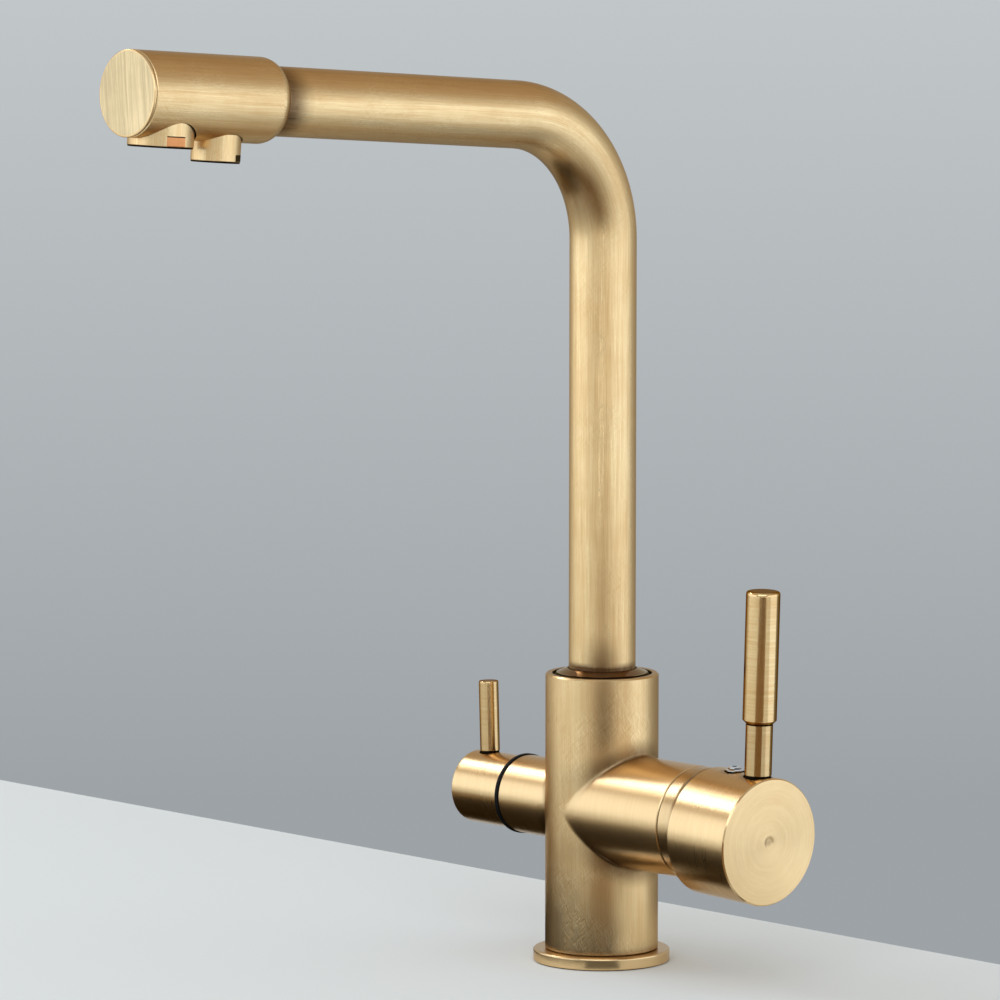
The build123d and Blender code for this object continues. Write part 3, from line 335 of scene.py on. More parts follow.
def turned(place, section, count=96, angles=None, brush="round", lean=0.0, squeeze=None, finish=0):
    """A section carried round an axis: origin + r (cos a, sin a) + h along the axis, for each angle a.

    squeeze may change the radii, as the hexagon of a nut or a spanner flat does.
    """
    angles = np.linspace(0, TURN, count + 1) if angles is None else angles
    radius, height = section[:, :1], section[:, 1:]
    if squeeze is not None:
        radius = squeeze(radius, angles[None, :], height)
    local = joined(radius * np.cos(angles), radius * np.sin(angles), height)
    along = run_lengths(section)[:, None]
    return dressed(place, local, angles[None, :], along, section[:, 0].max(), brush, lean, finish)


def hole_rim(hole, phi, radius):
    """A round hole's rim on an unrolled tube: angle + asin(r sin phi / R), height + r cos phi."""
    angle, height, r = hole
    return joined(angle + np.arcsin(r * np.sin(phi) / radius), height + r * np.cos(phi))


def rim_grid(hole, us, vs, radius, rows):
    """Lines from a hole's rim to the border of its cell, closer near the rim, and the rim's angles."""
    start, end, low, high = us[0], us[-1], vs[0], vs[-1]
    sides = (us[:-1], low), (end, vs[:-1]), (us[::-1][:-1], high), (start, vs[::-1][:-1])
    border = np.concatenate([joined(*side) for side in sides])
    border = np.concatenate([border, border[:1]])
    across = (border[:, 0] - hole[0]) / ((end - start) / 2)
    upward = (border[:, 1] - hole[1]) / ((high - low) / 2)
    phi = np.unwrap(np.arctan2(across, upward))
    t = (np.linspace(0, 1, rows + 1) ** 1.5)[:, None, None]
    return hole_rim(hole, phi, radius)[None] * (1 - t) + border[None] * t, phi


def pierced_wall(place, radius, around, along, holes, brush="round", rows=14, bend=None):
    """A tube's wall with round holes in it, cut into cells by the breaks round it and along it.

    A plain cell is a grid of R (cos a, sin a), h. In a cell with a hole, the grid runs from the hole's
    rim to the cell's border. Also gives each rim's angles, so that what leaves the hole can match it,
    and all the angles round the wall, so that what closes its ends can.
    """
    patches, rims = [], {}
    for start, end, count in around:
        us = np.linspace(start, end, count + 1)
        for low, high, steps in along:
            vs = np.linspace(low, high, steps + 1)
            inside = [hole for hole in holes if start < hole[0] < end and low < hole[1] < high]
            if inside:
                grid, rims[inside[0]] = rim_grid(inside[0], us, vs, radius, rows)
            else:
                grid = np.stack(np.meshgrid(us, vs, indexing="ij"), -1)
            a, h = grid[..., 0], grid[..., 1]
            patch = dressed(place, joined(radius * np.cos(a), radius * np.sin(a), h), a, h, radius, brush)
            if bend is not None:
                patch["points"] = bend(patch["points"])
            patches.append(patch)
    angles = np.concatenate([np.linspace(a, b, n + 1)[:-1] for a, b, n in around] + [[around[-1][1]]])
    return patches, rims, angles


def hole_wall(place, radius, hole, phi, steps, finish=0):
    """A hole's side and floor: its rim on the tube, then rings of (radius, height over the axis)."""
    angle, height, r = hole
    rings_r = np.array([r] + [ring[0] for ring in steps], float)[:, None]
    side = rings_r * np.sin(phi)
    top = np.sqrt(radius**2 - (r * np.sin(phi)) ** 2)
    lift = np.concatenate([top[None], np.array([ring[1] for ring in steps])[:, None] * np.ones_like(phi)])
    across = lift * math.cos(angle) - side * math.sin(angle)
    upward = lift * math.sin(angle) + side * math.cos(angle)
    local = joined(across, upward, height + rings_r * np.cos(phi))
    return dressed(place, local, phi[None, :], np.arange(len(rings_r))[:, None] * 1.0, r, finish=finish)


def swept_ring(radius, path, tangents, count):
    """A round section carried along a path in the plane x = 0: centre + R (cos a X + sin a (t x X))."""
    a = np.linspace(0, TURN, count + 1)
    side = np.array([1.0, 0.0, 0.0])
    up = np.cross(tangents, side)
    ring = np.cos(a)[None, :, None] * side + np.sin(a)[None, :, None] * up[:, None, :]
    length = run_lengths(path)[:, None]
    grain = joined(radius * np.cos(a), radius * np.sin(a), length * STREAK)
    return patch_of(path[:, None, :] + radius * ring, grain, joined(a * radius, length))


def spout_path():
    """The pipe's centre line: straight up, a circular bend, then straight out along the arm."""
    turn = math.pi / 2 - ARM_RISE
    tangent = BEND_R * math.tan(turn / 2)
    top = ARM_Z - tangent
    riser = joined(0, 0, PIPE_FOOT + (top - PIPE_FOOT) * np.linspace(0, 1, 64) ** 2)
    a = np.linspace(0, turn, 41)[1:]
    bend = joined(0, -BEND_R + BEND_R * np.cos(a), top + BEND_R * np.sin(a))
    out = PIPE_END - (PIPE_END - tangent) * (1 - np.linspace(0, 1, 36)[1:]) ** 2
    arm = np.array([0, 0, ARM_Z]) + out[:, None] * ARM_ALONG
    up = np.tile([0.0, 0.0, 1.0], (len(riser), 1))
    turning = joined(0, -np.sin(a), np.cos(a))
    onward = np.tile(ARM_ALONG, (len(arm), 1))
    return np.concatenate([riser, bend, arm]), np.concatenate([up, turning, onward])


def axis_distances(points):
    """Distances from the column's axis and from the axis of its two branches."""
    rho = np.maximum(np.hypot(points[..., 0], points[..., 1]), 1e-6)
    sigma = np.maximum(np.hypot(points[..., 1], points[..., 2] - AXIS_Z), 1e-6)
    return rho, sigma


def soft_crease(branch_r, sign, size):
    """Moves points onto the rounded crease between the column and a round branch square to it.

    With a and b the distances outside the two cylinders and r the crease's radius, the surface is where
    (r - a)^2 + (r - b)^2 = r^2. r shrinks with the angle between the walls, so that the rounding stays
    about as wide all the way.
    """

    def bend(points):
        p = points.copy()
        rho, sigma = axis_distances(p)
        alike = np.clip(p[..., 1] ** 2 / (rho * sigma), 0, 1)
        r = size * np.sqrt(1 - alike) + 0.02
        reach = (sign * p[..., 0] > 0)[..., None]
        for _ in range(8):
            rho, sigma = axis_distances(p)
            out_a = joined(p[..., 0] / rho, p[..., 1] / rho, 0.0)
            out_b = joined(0.0, p[..., 1] / sigma, (p[..., 2] - AXIS_Z) / sigma)
            a = np.maximum(r - (rho - COLUMN_R), 0)
            b = np.maximum(r - (sigma - branch_r), 0)
            both = (a > 0) & (b > 0)
            size_now = np.maximum(np.hypot(a, b), 1e-9)
            gap = r - size_now
            slope = (a[..., None] * out_a + b[..., None] * out_b) / size_now[..., None]
            steep = np.maximum((slope**2).sum(-1), 1e-6)
            step = -(gap / steep)[..., None] * slope
            p = np.where(both[..., None] & reach, p + step, p)
        return p

    return bend


def casting_shade_and_patina(points):
    """Painted shade, with some patina, on the casting: its two creases, less where the walls run alike, its
    foot and one tall band.
    """
    rho, sigma = axis_distances(points)
    steep = 1 - np.clip(points[..., 1] ** 2 / np.maximum(rho * sigma, 1), 0, 1)
    branch = np.where(points[..., 0] > 0, HOUSING_R, STUB_R)
    reach = np.where(points[..., 2] > AXIS_Z, 2.0, 4.5)
    # painted shade in the creases where the housing and the stub meet the column
    crease = near(rho - COLUMN_R, reach) * near(sigma - branch, 8.0) ** 0.8 * np.clip(steep * 1.5, 0, 1)
    on_column = np.abs(rho - COLUMN_R) < 0.8
    # painted shade where the column stands on the flange
    foot = near(points[..., 2] - COLUMN_FOOT, 4.0) * on_column
    # a tall dark band down the column's front: a painted dark reflection
    angle = np.degrees(np.arctan2(points[..., 1], points[..., 0]))
    painted_shade_band = near(angle + 40, 17) * near(points[..., 2] - 97, 26) * on_column
    return np.maximum.reduce([crease * 0.9, foot * 0.6, painted_shade_band * 0.6])


# ---- meshes ----


def grid_faces(rows, columns):
    """The four corners of each face of a grid of points."""
    index = np.arange(rows * columns).reshape(rows, columns)
    return joined(index[:-1, :-1], index[:-1, 1:], index[1:, 1:], index[1:, :-1]).reshape(-1, 4)


def plate_with_holes(z, rim, holes, count=32):
    """A flat disc with round holes: the triangles between its rim and the holes' rims."""
    loops = [rim]
    for x, y, r in holes:
        a = np.linspace(0, TURN, count + 1)[:-1]
        loops.append(joined(x + r * np.cos(a), y + r * np.sin(a)))
    points, edges, start = [], [], 0
    for loop in loops:
        points.extend(Vector((float(x), float(y))) for x, y in loop)
        edges.extend((start + i, start + (i + 1) % len(loop)) for i in range(len(loop)))
        start += len(loop)
    flat, _, triangles, _, _, _ = delaunay_2d_cdt(points, edges, [], 0, 1e-6)
    flat = np.array([tuple(point) for point in flat])
    triangles = np.array([triangle for triangle in triangles if len(triangle) == 3])
    middle = flat[triangles].mean(1)
    solid = np.ones(len(triangles), bool)
    for x, y, r in holes:
        solid &= np.hypot(middle[:, 0] - x, middle[:, 1] - y) > r * 0.99
    points = joined(flat[:, 0], flat[:, 1], z)
    return {**patch_of(points, points, flat), "faces": triangles[solid][:, [0, 1, 2, 0]]}


def make_piece(name, stands_for, patches, finishes, body="root", slot="brushed_gold", sharp=32.0):
    """One object from patches: their grids become faces, equal points are merged, normals face outwards.

    A face whose last corner is its first one is a triangle.
    """
    faces, finish_of, start = [], [], 0
    for patch in patches:
        made = patch["faces"] if "faces" in patch else grid_faces(*patch["points"].shape[:2])
        faces.append(made + start)
        finish_of.append(np.full(len(made), patch["finish"]))
        start += patch["patina"].size
    faces = np.concatenate(faces)
    points = np.concatenate([patch["points"].reshape(-1, 3) for patch in patches]) * MM
    grain = np.concatenate([patch["grain"].reshape(-1, 3) for patch in patches])
    uv = np.concatenate([patch["uv"].reshape(-1, 2) for patch in patches]) * MM
    patina = np.concatenate([patch["patina"].ravel() for patch in patches])
    three = faces[:, 0] == faces[:, 3]
    keep = np.ones(faces.shape, bool)
    keep[:, 3] = ~three
    corners = faces[keep]
    starts = np.concatenate([[0], np.cumsum(np.where(three, 3, 4))[:-1]])
    mesh = bpy.data.meshes.new(name)
    mesh.vertices.add(len(points))
    mesh.vertices.foreach_set("co", points.astype(np.float32).ravel())
    mesh.loops.add(len(corners))
    mesh.loops.foreach_set("vertex_index", corners.astype(np.int32))
    mesh.polygons.add(len(faces))
    mesh.polygons.foreach_set("loop_start", starts.astype(np.int32))
    mesh.polygons.foreach_set("material_index", np.concatenate(finish_of).astype(np.int32))
    layer = mesh.uv_layers.new(name="Brushing")
    layer.data.foreach_set("uv", uv[corners].astype(np.float32).ravel())
    streak = mesh.attributes.new("Grain", "FLOAT_VECTOR", "CORNER")
    streak.data.foreach_set("vector", grain[corners].astype(np.float32).ravel())
    # the share of painted shade, with some patina, at each corner of a face
    dark = mesh.attributes.new("ShadeAndPatina", "FLOAT", "CORNER")
    dark.data.foreach_set("value", patina[corners].astype(np.float32))
    mesh.update(calc_edges=True)
    work = bmesh.new()
    work.from_mesh(mesh)
    bmesh.ops.remove_doubles(work, verts=work.verts, dist=2e-6)
    bmesh.ops.dissolve_degenerate(work, edges=work.edges, dist=1e-7)
    bmesh.ops.recalc_face_normals(work, faces=work.faces)
    open_edges = sum(1 for edge in work.edges if len(edge.link_faces) != 2)
    work.to_mesh(mesh)
    work.free()
    mesh.shade_smooth()
    mesh.set_sharp_from_angle(angle=math.radians(sharp))
    for finish in finishes:
        mesh.materials.append(bpy.data.materials[finish])
    piece = bpy.data.objects.new(name, mesh)
    bpy.context.scene.collection.objects.link(piece)
    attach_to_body(piece, body)
    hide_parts(stands_for)
    if open_edges:
        print("open edges:", name, open_edges)


# ---- finishes ----


def shade(colour, share):
    """A colour made lighter or darker."""
    return tuple(share * channel for channel in colour)


def attach(tree, socket, value):
    """Links a socket to another node's, or gives it a number, a vector or a colour."""
    if isinstance(value, bpy.types.NodeSocket):
        tree.links.new(value, socket)
    else:
        socket.default_value = (*value, 1.0) if socket.type == "RGBA" else value


def fill(tree, made, **values):
    """Attaches values to a node's input sockets, whose names have _ for a space here."""
    for name, value in values.items():
        attach(tree, made.inputs[name.replace("_", " ")], value)


def node(tree, kind, settings=None, **values):
    """A node with its settings and its input sockets filled."""
    made = tree.nodes.new("ShaderNode" + kind)
    for name, value in (settings or {}).items():
        setattr(made, name, value)
    fill(tree, made, **values)
    return made


def noise(tree, place, scale, detail, roughness=0.5, settings=None):
    """Cloudy noise read at a place."""
    made = node(tree, "TexNoise", settings, Vector=place, Scale=scale, Detail=detail, Roughness=roughness)
    return made.outputs[0]


def ramp(tree, value, low, high, out_low=0.0, out_high=1.0):
    """A value carried from one range to another and held at its ends."""
    ends = {"From_Min": low, "From_Max": high, "To_Min": out_low, "To_Max": out_high}
    return node(tree, "MapRange", {"clamp": True}, Value=value, **ends).outputs["Result"]


def blend_colour(tree, share, first, second):
    """Two colours mixed by a share."""
    made = node(tree, "Mix", {"data_type": "RGBA"}, Factor=share)
    for socket, colour in zip([socket for socket in made.inputs if socket.type == "RGBA"], (first, second)):
        attach(tree, socket, colour)
    return [socket for socket in made.outputs if socket.type == "RGBA"][0]


def combine(tree, operation, first, second):
    """A sum, product or other operation on two values."""
    made = node(tree, "Math", {"operation": operation})
    for socket, value in zip(made.inputs, (first, second)):
        attach(tree, socket, value)
    return made.outputs[0]


def total(tree, *terms):
    """The sum of several values, each times its weight."""
    made = 0.0
    for value, weight in terms:
        made = combine(tree, "ADD", made, combine(tree, "MULTIPLY", value, weight))
    return made


def streak_group():
    """Brushed streaks: fine lines, broad lines, clouds, crossing scratches, and the painted shade, with some
    patina, in corners.
    """
    group = bpy.data.node_groups.new("Brushed Streaks", "ShaderNodeTree")
    for label in ("Fineness", "Broadness"):
        group.interface.new_socket(name=label, in_out="INPUT", socket_type="NodeSocketFloat")
    given = group.nodes.new("NodeGroupInput")
    grain = node(group, "Attribute", {"attribute_name": "Grain"}).outputs["Vector"]
    fine = noise(group, grain, given.outputs["Fineness"], 4.0, 0.62)
    hair = noise(group, grain, 6.0, 2.0, 0.6)
    broad = noise(group, grain, given.outputs["Broadness"], 2.0)
    place = node(group, "TexCoord").outputs["Object"]
    cloud = noise(group, place, 45.0, 4.0, 0.6)
    flat = node(group, "UVMap", {"uv_map": "Brushing"}).outputs["UV"]
    lines = []
    for turn in (0.6, -0.75, 0.15):
        sizes = {"Rotation": (0, 0, turn), "Scale": (0.0005, 0.006, 1.0)}
        tilted = node(group, "Mapping", {"vector_type": "TEXTURE"}, Vector=flat, **sizes).outputs["Vector"]
        line = noise(group, tilted, 1.0, 1.0, settings={"noise_dimensions": "2D"})
        lines.append(ramp(group, line, 0.54, 0.68))
    crossed = combine(group, "SUBTRACT", combine(group, "MAXIMUM", lines[0], lines[2]), lines[1])
    crossed = combine(group, "MULTIPLY", crossed, ramp(group, noise(group, place, 60.0, 2.0), 0.42, 0.6))
    # painted shade, with some patina, made uneven by the clouds
    shade_and_patina_share = node(group, "Attribute", {"attribute_name": "ShadeAndPatina"}).outputs["Fac"]
    cloudy = ramp(group, cloud, 0.35, 0.65, 0.75, 1.05)
    uneven = combine(group, "ADD", cloudy, ramp(group, fine, 0.35, 0.65, -0.08, 0.08))
    shade_and_patina_share = combine(group, "MULTIPLY", shade_and_patina_share, uneven)
    made = {"Fine": fine, "Hair": hair, "Broad": broad, "Cloud": cloud, "Scratch": crossed, "ShadeAndPatina": shade_and_patina_share}
    for label in made:
        group.interface.new_socket(name=label, in_out="OUTPUT", socket_type="NodeSocketFloat")
    result = group.nodes.new("NodeGroupOutput")
    for label, source in made.items():
        group.links.new(source, result.inputs[label])


def blank(name):
    """A material with only its principled shader and output."""
    material = bpy.data.materials.new(name)
    material.use_nodes = True
    return material, material.node_tree, material.node_tree.nodes["Principled BSDF"]


def brushed_metal(
    name, light, deep, rough, gloss=0.02, fine=3.0, broad=0.5, bump=0.03, spread=0.3, lacquer=0.0,
    scratches=0.0, contrast=1.0, edge_shade=0.0, edge_tint=(0.85, 0.70, 0.50),
):
    """Brushed metal: streaks change its colour, gloss and fine relief, and gloss spreads across them.

    gloss is how far the streaks change the roughness, spread how far a highlight is drawn out across
    them, contrast how sharply light and deep tones part, edge_shade how far the edges are painted brown as
    shade.
    """
    _, tree, shader = blank(name)
    group = {"node_tree": bpy.data.node_groups["Brushed Streaks"]}
    streaks = node(tree, "Group", group, Fineness=fine, Broadness=broad).outputs
    scratched = combine(tree, "MULTIPLY", streaks["Scratch"], scratches)
    mixed = total(
        tree,
        (ramp(tree, streaks["Fine"], 0.37, 0.63), 0.42),
        (ramp(tree, streaks["Broad"], 0.35, 0.65), 0.3),
        (ramp(tree, streaks["Cloud"], 0.35, 0.65), 0.28),
    )
    tone = ramp(tree, mixed, 0.5 - 0.5 / contrast, 0.5 + 0.5 / contrast)
    tone = ramp(tree, total(tree, (tone, 1.0), (scratched, 0.3)), 0.0, 1.0)
    metal = blend_colour(tree, tone, deep, light)
    # painted shade, with some patina: the metal's colour turns towards a dark brown where a piece carries it
    shaded_metal = blend_colour(tree, ramp(tree, streaks["ShadeAndPatina"], 0.0, 1.0), metal, SHADE_AND_PATINA)
    if edge_shade:
        # painted shade: the edges, where the surface turns away from the view, are painted brown
        facing = node(tree, "LayerWeight", Blend=0.5).outputs["Facing"]
        shaded_metal = blend_colour(tree, ramp(tree, facing, 0.35, 0.85, 0.0, edge_shade), shaded_metal, EDGE_SHADE_BROWN)
    relief = total(tree, (ramp(tree, streaks["Hair"], 0.3, 0.7), 1.0), (scratched, 2.0))
    raised = node(tree, "Bump", Height=relief, Strength=bump, Distance=0.0001).outputs["Normal"]
    roughness = ramp(tree, mixed, 0.2, 0.8, rough + gloss, rough - gloss)
    fill(tree, shader, Base_Color=shaded_metal, Roughness=roughness, Normal=raised)
    fill(tree, shader, Metallic=1.0, Anisotropic=spread, Specular_Tint=edge_tint)
    if lacquer:
        fill(tree, shader, Coat_Weight=lacquer, Coat_Roughness=0.2, Coat_IOR=1.5)
    if spread:
        way = node(tree, "Tangent", {"direction_type": "UV_MAP", "uv_map": "Brushing"})
        fill(tree, shader, Tangent=way.outputs["Tangent"])


def speckled(name, colour, rough, scale, detail, darkest, smoothest, roughest):
    """A material whose tone and gloss change faintly from place to place, and the noise that they follow."""
    _, tree, shader = blank(name)
    grain = noise(tree, node(tree, "TexCoord").outputs["Object"], scale, detail)
    roughness = ramp(tree, grain, 0.3, 0.7, rough * smoothest, min(rough * roughest, 1.0))
    tone = blend_colour(tree, ramp(tree, grain, 0.3, 0.7), shade(colour, darkest), colour)
    fill(tree, shader, Roughness=roughness, Base_Color=tone)
    return tree, shader, grain


def plain_metal(name, colour, rough):
    """Machined metal."""
    tree, shader, _ = speckled(name, colour, rough, 900.0, 2.0, 0.86, 0.8, 1.25)
    fill(tree, shader, Metallic=1.0)


def moulded(name, colour, rough, bump=0.05, shine=0.5):
    """Rubber, plastic or ceramic with a fine grain."""
    tree, shader, grain = speckled(name, colour, rough, 1200.0, 3.0, 0.9, 0.9, 1.15)
    raised = node(tree, "Bump", Height=grain, Strength=bump, Distance=0.0001).outputs["Normal"]
    fill(tree, shader, Normal=raised, Specular_IOR_Level=shine)


# the finish of a hidden CAD piece, by its slot; the other slots' finishes have the slot's own name
SLOT_FINISHES = {
    "brushed_gold": "Brushed Gold Drawn",
    "polished_gold": "Polished Collar",
    "raw_brass": "Machined Brass",
    "steel": "Machined Steel",
}


# ---- settings ----

Length = partial(FloatProperty, subtype="DISTANCE", unit="LENGTH")
Share = partial(FloatProperty, subtype="FACTOR")
Power = partial(FloatProperty, unit="POWER")
Colour = partial(FloatVectorProperty, subtype="COLOR")


class TapShape(bpy.types.PropertyGroup):
    crease: Length(
        name="Housing crease", description="Rounding where the mixer housing meets the column",
        default=1.1 * MM, min=0.1 * MM, max=6 * MM,
    )
    stub_crease: Length(
        name="Stub crease", description="Rounding where the filter stub meets the column",
        default=0.9 * MM, min=0.1 * MM, max=4 * MM,
    )
    edge: Length(
        name="Edge break", description="Size of the small chamfers on turned edges",
        default=0.3 * MM, min=0.05 * MM, max=0.6 * MM,
    )
    thread_pitch: Length(
        name="Shank thread pitch", description="Distance between two turns of the thread under the deck",
        default=1.5 * MM, min=0.5 * MM, max=3 * MM,
    )
    segments: IntProperty(
        name="Segments", description="Faces round a turned piece", default=128, min=24, max=256
    )


class TapFinish(bpy.types.PropertyGroup):
    gold: Colour(name="Gold", description="Light tone of the brushed gold", default=(0.92, 0.705, 0.385))
    deep_gold: Colour(
        name="Deep gold", description="Deep tone in the brushed gold", default=(0.68, 0.42, 0.17)
    )
    collar: Colour(name="Collar", description="Tone of the polished collar", default=(0.30, 0.225, 0.185))
    copper: Colour(name="Copper", description="Tone of the bare spanner flats", default=(0.70, 0.30, 0.115))
    roughness: Share(
        name="Roughness", description="Gloss of the brushed gold", default=0.32, min=0.05, max=0.8
    )
    spread: Share(name="Spread", description="How far gloss spreads across the brushing", default=0.6, max=1.0)


class TapStage(bpy.types.PropertyGroup):
    floor: Colour(name="Floor", description="Colour of the floor", default=(0.85, 0.885, 0.875))
    wall: Colour(name="Wall", description="Colour behind the tap, high up", default=(0.533, 0.565, 0.584))
    ceiling: Colour(name="Ceiling", description="Warm tone of the room overhead", default=(0.46, 0.35, 0.24))
    low_wall: Colour(
        name="Low wall", description="Colour behind the tap, low down", default=(0.337, 0.362, 0.381)
    )
    lamp: Colour(name="Lamp", description="Colour of the soft lights", default=(0.90, 1.0, 1.16), max=1.2)
    left_light: Power(name="Left light", description="Power of the soft light on the left", default=6.7)
    right_light: Power(name="Right light", description="Power of the soft light on the right", default=9.5)
    front_light: Power(name="Front light", description="Power of the soft light over the camera", default=20.0)
    strip_light: Power(
        name="Strip light", description="Power of the narrow light over the left one", default=3.3
    )


# ---- operators ----


class TAP_OT_finishes(bpy.types.Operator):
    """Makes every finish and gives the hidden CAD pieces theirs"""

    bl_idname = "tap.finishes"
    bl_label = "Finishes"

    def execute(self, context):
        look = context.scene.tap_finish
        streak_group()
        self.golds(tuple(look.gold), tuple(look.deep_gold), look.roughness, look.spread)
        collar, copper = tuple(look.collar), tuple(look.copper)
        brushed_metal("Polished Collar", collar, shade(collar, 0.8), 0.12)
        brushed_metal("Bare Copper", copper, shade(copper, 0.75), 0.35, gloss=0.05, bump=0.1)
        # near black: a few real dark rings, and mostly recesses, gaps and grooves painted dark as shade
        brushed_metal("Dark Joint And Painted Shade", (0.012, 0.008, 0.006), (0.006, 0.004, 0.003), 0.5, gloss=0.05, spread=0.0)
        plain_metal("Machined Brass", (0.78, 0.60, 0.32), 0.28)
        plain_metal("Machined Steel", (0.62, 0.62, 0.61), 0.3)
        plain_metal("Chrome", (0.86, 0.86, 0.87), 0.07)
        moulded("Black Rubber", (0.018, 0.018, 0.018), 0.62)
        moulded("Black Plastic", (0.004, 0.004, 0.004), 0.55, shine=0.12)
        moulded("Grey Plastic", (0.16, 0.17, 0.18), 0.45)
        moulded("White Plastic", (0.72, 0.72, 0.69), 0.42)
        moulded("Ceramic", (0.82, 0.80, 0.76), 0.16, bump=0.0)
        moulded("Tube Plastic", (0.70, 0.73, 0.76), 0.38)
        for part in frame["record"]["subparts"]:
            slot = part["material_slot"]
            finish = SLOT_FINISHES.get(slot, slot.replace("_", " ").title())
            mesh = frame["nodes"][part["node"]].data
            mesh.materials.clear()
            mesh.materials.append(bpy.data.materials[finish])
        return {"FINISHED"}

    def golds(self, gold, deep, rough, spread):
        """The gold as it looks on drawn, cast, smooth, spun, faced and lathe turned pieces."""
        # the end cap's gold is painted darker as shade, and the spun face's a little lighter as painted light
        shaded_cap_gold = shade(gold, 0.80)
        brushed_metal(
            "Brushed Gold Drawn", gold, deep, rough, gloss=0.05, fine=2.6, bump=0.15, spread=spread,
            lacquer=0.15, scratches=0.5, contrast=0.85, edge_shade=0.7,
        )
        brushed_metal(
            "Brushed Gold Cast", gold, deep, rough, gloss=0.04, broad=0.3, bump=0.15, lacquer=0.15,
            scratches=1.0, contrast=0.65, edge_shade=0.8,
        )
        brushed_metal(
            "Brushed Gold Smooth", gold, deep, rough, broad=0.4, lacquer=0.6, contrast=0.2, edge_shade=0.4
        )
        brushed_metal(
            "Brushed Gold Spun", gold, deep, rough - 0.03, spread=0.4, lacquer=0.6, contrast=0.2, edge_shade=0.4
        )
        brushed_metal(
            "Spun Face", shade(gold, 1.03), deep, rough - 0.08, fine=6.0, broad=0.8, bump=0.05, spread=0.85,
            lacquer=0.5, contrast=0.35,
        )
        brushed_metal(
            "Brushed Cap", shaded_cap_gold, shade(shaded_cap_gold, 0.72), rough + 0.06, gloss=0.05, broad=0.7, bump=0.2, spread=0.4,
            lacquer=0.3, contrast=1.8,
        )
        brushed_metal(
            "Turned Gold", gold, deep, 0.15, fine=1.6, bump=0.012, spread=0.1, edge_shade=2.2,
            edge_tint=(0.45, 0.28, 0.13),
        )


class TAP_OT_column(bpy.types.Operator):
    """Column with the mixer housing and the filter stub, creases rounded, pockets inside"""

    bl_idname = "tap.column"
    bl_label = "Column"

    def execute(self, context):
        shape = context.scene.tap_shape
        edge = shape.edge / MM
        housing = (0.0, AXIS_Z, HOUSING_R)
        stub = (math.pi, AXIS_Z, STUB_R)
        mixer_bend = soft_crease(HOUSING_R, 1, shape.crease / MM)
        stub_bend = soft_crease(STUB_R, -1, shape.stub_crease / MM)
        split = math.radians(100)
        around = spans((-split, split, TURN - split), (72, 60))
        top = COLUMN_TOP - TOP_CHAMFER
        along = spans((COLUMN_FOOT + edge, BRANCH_LOW, BRANCH_HIGH, top), (8, 44, 7))
        patches, rims, angles = pierced_wall(
            UPRIGHT, COLUMN_R, around, along, [housing, stub], "long", 20, lambda p: stub_bend(mixer_bend(p))
        )
        foot = outline(
            (SHANK_SEAT_R, WEB_Z), (SHANK_SEAT_R, FOOT_LIFT), (FOOT_R, FOOT_LIFT), (FOOT_R, COLUMN_FOOT),
            (COLUMN_R - edge, COLUMN_FOOT), (COLUMN_R, COLUMN_FOOT + edge),
        )
        mouth_edge = (MOUTH_R + MOUTH_CHAMFER, COLUMN_TOP)
        brim = outline((COLUMN_R, top), (COLUMN_R - TOP_CHAMFER, COLUMN_TOP), mouth_edge)
        mouth = outline(mouth_edge, (MOUTH_R, COLUMN_TOP - MOUTH_CHAMFER), *MOUTH_STEPS)
        patches.append(turned(UPRIGHT, foot, angles=angles, brush="long"))
        patches.append(turned(UPRIGHT, brim, angles=angles))
        # the mouth's inside is painted dark as shade
        patches.append(turned(UPRIGHT, mouth, angles=angles, finish=1))
        inlets = [
            (INLET_PITCH_R * math.cos(a), INLET_PITCH_R * math.sin(a), INLET_R)
            for a in (-math.pi / 3, math.pi / 3, math.pi)
        ]
        rim = SHANK_SEAT_R * joined(np.cos(angles[:-1]), np.sin(angles[:-1]))
        patches.append(plate_with_holes(WEB_Z, rim, inlets))
        for x, y, _ in inlets:
            patches.append(turned(axes((x, y, 0), (0, 0, 1), (1, 0, 0)), outline(*INLET_STEPS), 32))
        for hole, place, end, steps, bend in (
            (housing, MIXER, HOUSING_END, CARTRIDGE_STEPS, mixer_bend),
            (stub, FILTER, STUB_END, VALVE_STEPS, stub_bend),
        ):
            # a branch runs from its hole's rim to its end, with rows closer together near the column
            phi, r = rims[hole], hole[2]
            start = np.sqrt(COLUMN_R**2 - (r * np.sin(phi)) ** 2)
            t = (np.linspace(0, 1, 33) ** 1.6)[:, None]
            x = start[None] * (1 - t) + (end - edge) * t
            local = joined(r * np.cos(-phi), r * np.sin(-phi), x)
            branch = dressed(place, local, -phi[None, :], x, r, finish=2)
            branch["points"] = bend(branch["points"])
            section = outline((r, end - edge), (r - edge, end), *steps)
            patches += [branch, turned(place, section, angles=-phi, finish=2)]
        # the casting's painted shade, with some patina
        for patch in patches:
            patch["patina"] = casting_shade_and_patina(patch["points"])
        finishes = ["Brushed Gold Cast", "Dark Joint And Painted Shade", "Brushed Gold Smooth"]
        make_piece("column", "body_casting", patches, finishes)
        return {"FINISHED"}


def cut_thread(radius, angle, height, pitch):
    """The shank's radius: a helical ridge that repeats each pitch, and a plain tapered pilot at its end."""
    phase = np.mod(height / pitch - angle / TURN, 1.0)
    valley = np.abs(phase - 0.5) * 2
    taper = np.minimum(height - SHANK_BOTTOM, 1.0) - 1.0
    thread = THREAD_DEPTH * (1 - np.clip(valley * 1.25, 0, 1))
    return np.where(height < SHANK_PILOT, radius - PILOT_DEPTH + taper, radius - thread)


